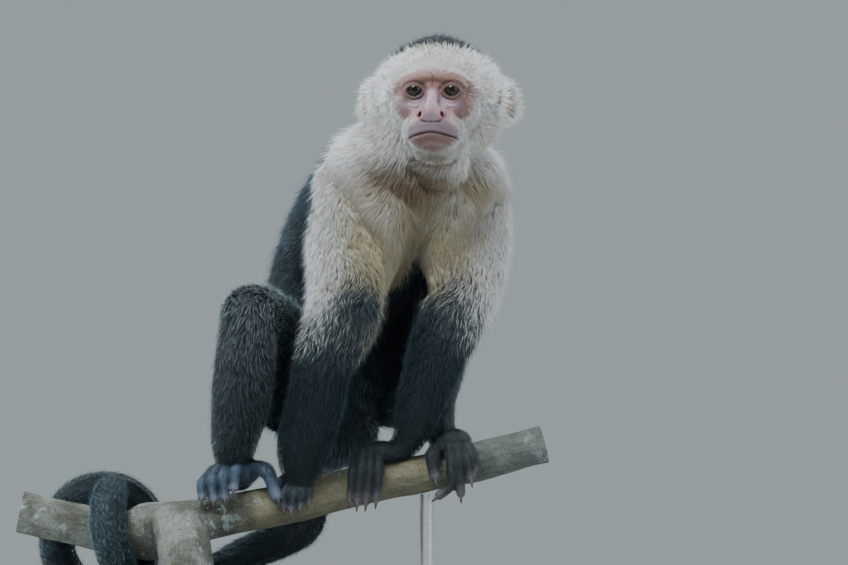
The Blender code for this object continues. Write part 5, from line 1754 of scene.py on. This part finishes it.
ready(skin, skin_finish, "white_coat", *FLESH)
for coat in coats:
    ready(coat, coat_finish, "white_coat" if coat.name.startswith(PALE_COATS) else "black_coat")
for eye, side in zip(eyes, ("right", "left")):
    ready(eye, eye_finish, "eye", f"eye_{side}")
for piece in claws:
    ready(piece, horn_finish, "hand_skin")
ready(perch, bark_finish, "bark", "perch")
for rod, side in zip(rods, ("left", "right")):
    ready(rod, steel_finish, "steel", f"stand_rod_{side}")
for holder in frame["nodes"]["stand_base"].material_slots:
    holder.material = paint_finish


# %% [markdown]
# The floor is one wide pale disc. A big soft key light stands high at the front left, as a bright sky
# does, a weaker one fills from the right, and two cool ones behind draw the edge of the pale fur. The
# camera is level and far away with a long lens, so that depth hardly changes the outline.
# %% Floor, lights and camera
take()
bpy.ops.mesh.primitive_circle_add(vertices=128, radius=3.6, fill_type="NGON", location=(0, 0, 0))
floor = made_here("floor")
f = Finish("floor_paint")
colour = f.mix((0.5, 0.51, 0.5), (0.56, 0.57, 0.56), f.noise(f.place(), 6, 3))
floor.data.materials.append(f.done(colour, 0.75))
LAMPS_AIM = Vector((0.03, 0.0, 0.27))


def lamp(name, place, size, power, colour):
    """A round soft lamp, turned towards the animal."""
    data = bpy.data.lights.new(name, "AREA")
    data.shape, data.size, data.energy, data.color = "DISK", size, power, colour
    made = placed(name, data)
    made.location = place
    made.rotation_euler = (LAMPS_AIM - Vector(place)).to_track_quat("-Z", "Y").to_euler()


lamp("key", (-0.7, -1.4, 2.3), 1.4, 97, (0.91, 0.97, 1.0))
lamp("fill", (1.9, -1.4, 1.2), 2.4, 21, (0.93, 0.97, 1.0))
lamp("rim_left", (-1.7, 0.6, 1.4), 1.0, 46, (0.78, 0.9, 1.0))
lamp("rim_right", (1.5, 1.0, 1.3), 0.8, 28, (0.8, 0.91, 1.0))
world = bpy.data.worlds.new("studio")
world.use_nodes = True
world.node_tree.nodes["Background"].inputs["Color"].default_value = (0.35, 0.4, 0.415, 1)
world.node_tree.nodes["Background"].inputs["Strength"].default_value = 0.95
bpy.context.scene.world = world

FRAME_WIDTH, FRAME_MIDDLE, CAMERA_AWAY, SENSOR_WIDTH = 0.5936, (0.0658, 0.27025), 12.0, 36
camera_data = bpy.data.cameras.new("camera")
camera_data.sensor_width = SENSOR_WIDTH
camera_data.lens = SENSOR_WIDTH * CAMERA_AWAY / FRAME_WIDTH
camera_data.clip_end = 30
camera = placed("camera", camera_data)
camera.location = (FRAME_MIDDLE[0], -CAMERA_AWAY, FRAME_MIDDLE[1])
camera.rotation_euler = (math.pi / 2, 0, 0)
bpy.context.scene.camera = camera
print("camera", CAMERA_AWAY, "m away, frames", FRAME_WIDTH, "m")


# %% [markdown]
# Last, the view layer is updated. Fur is soft at its outline, so its outline may differ by a few
# millimetres.
bpy.context.view_layer.update()
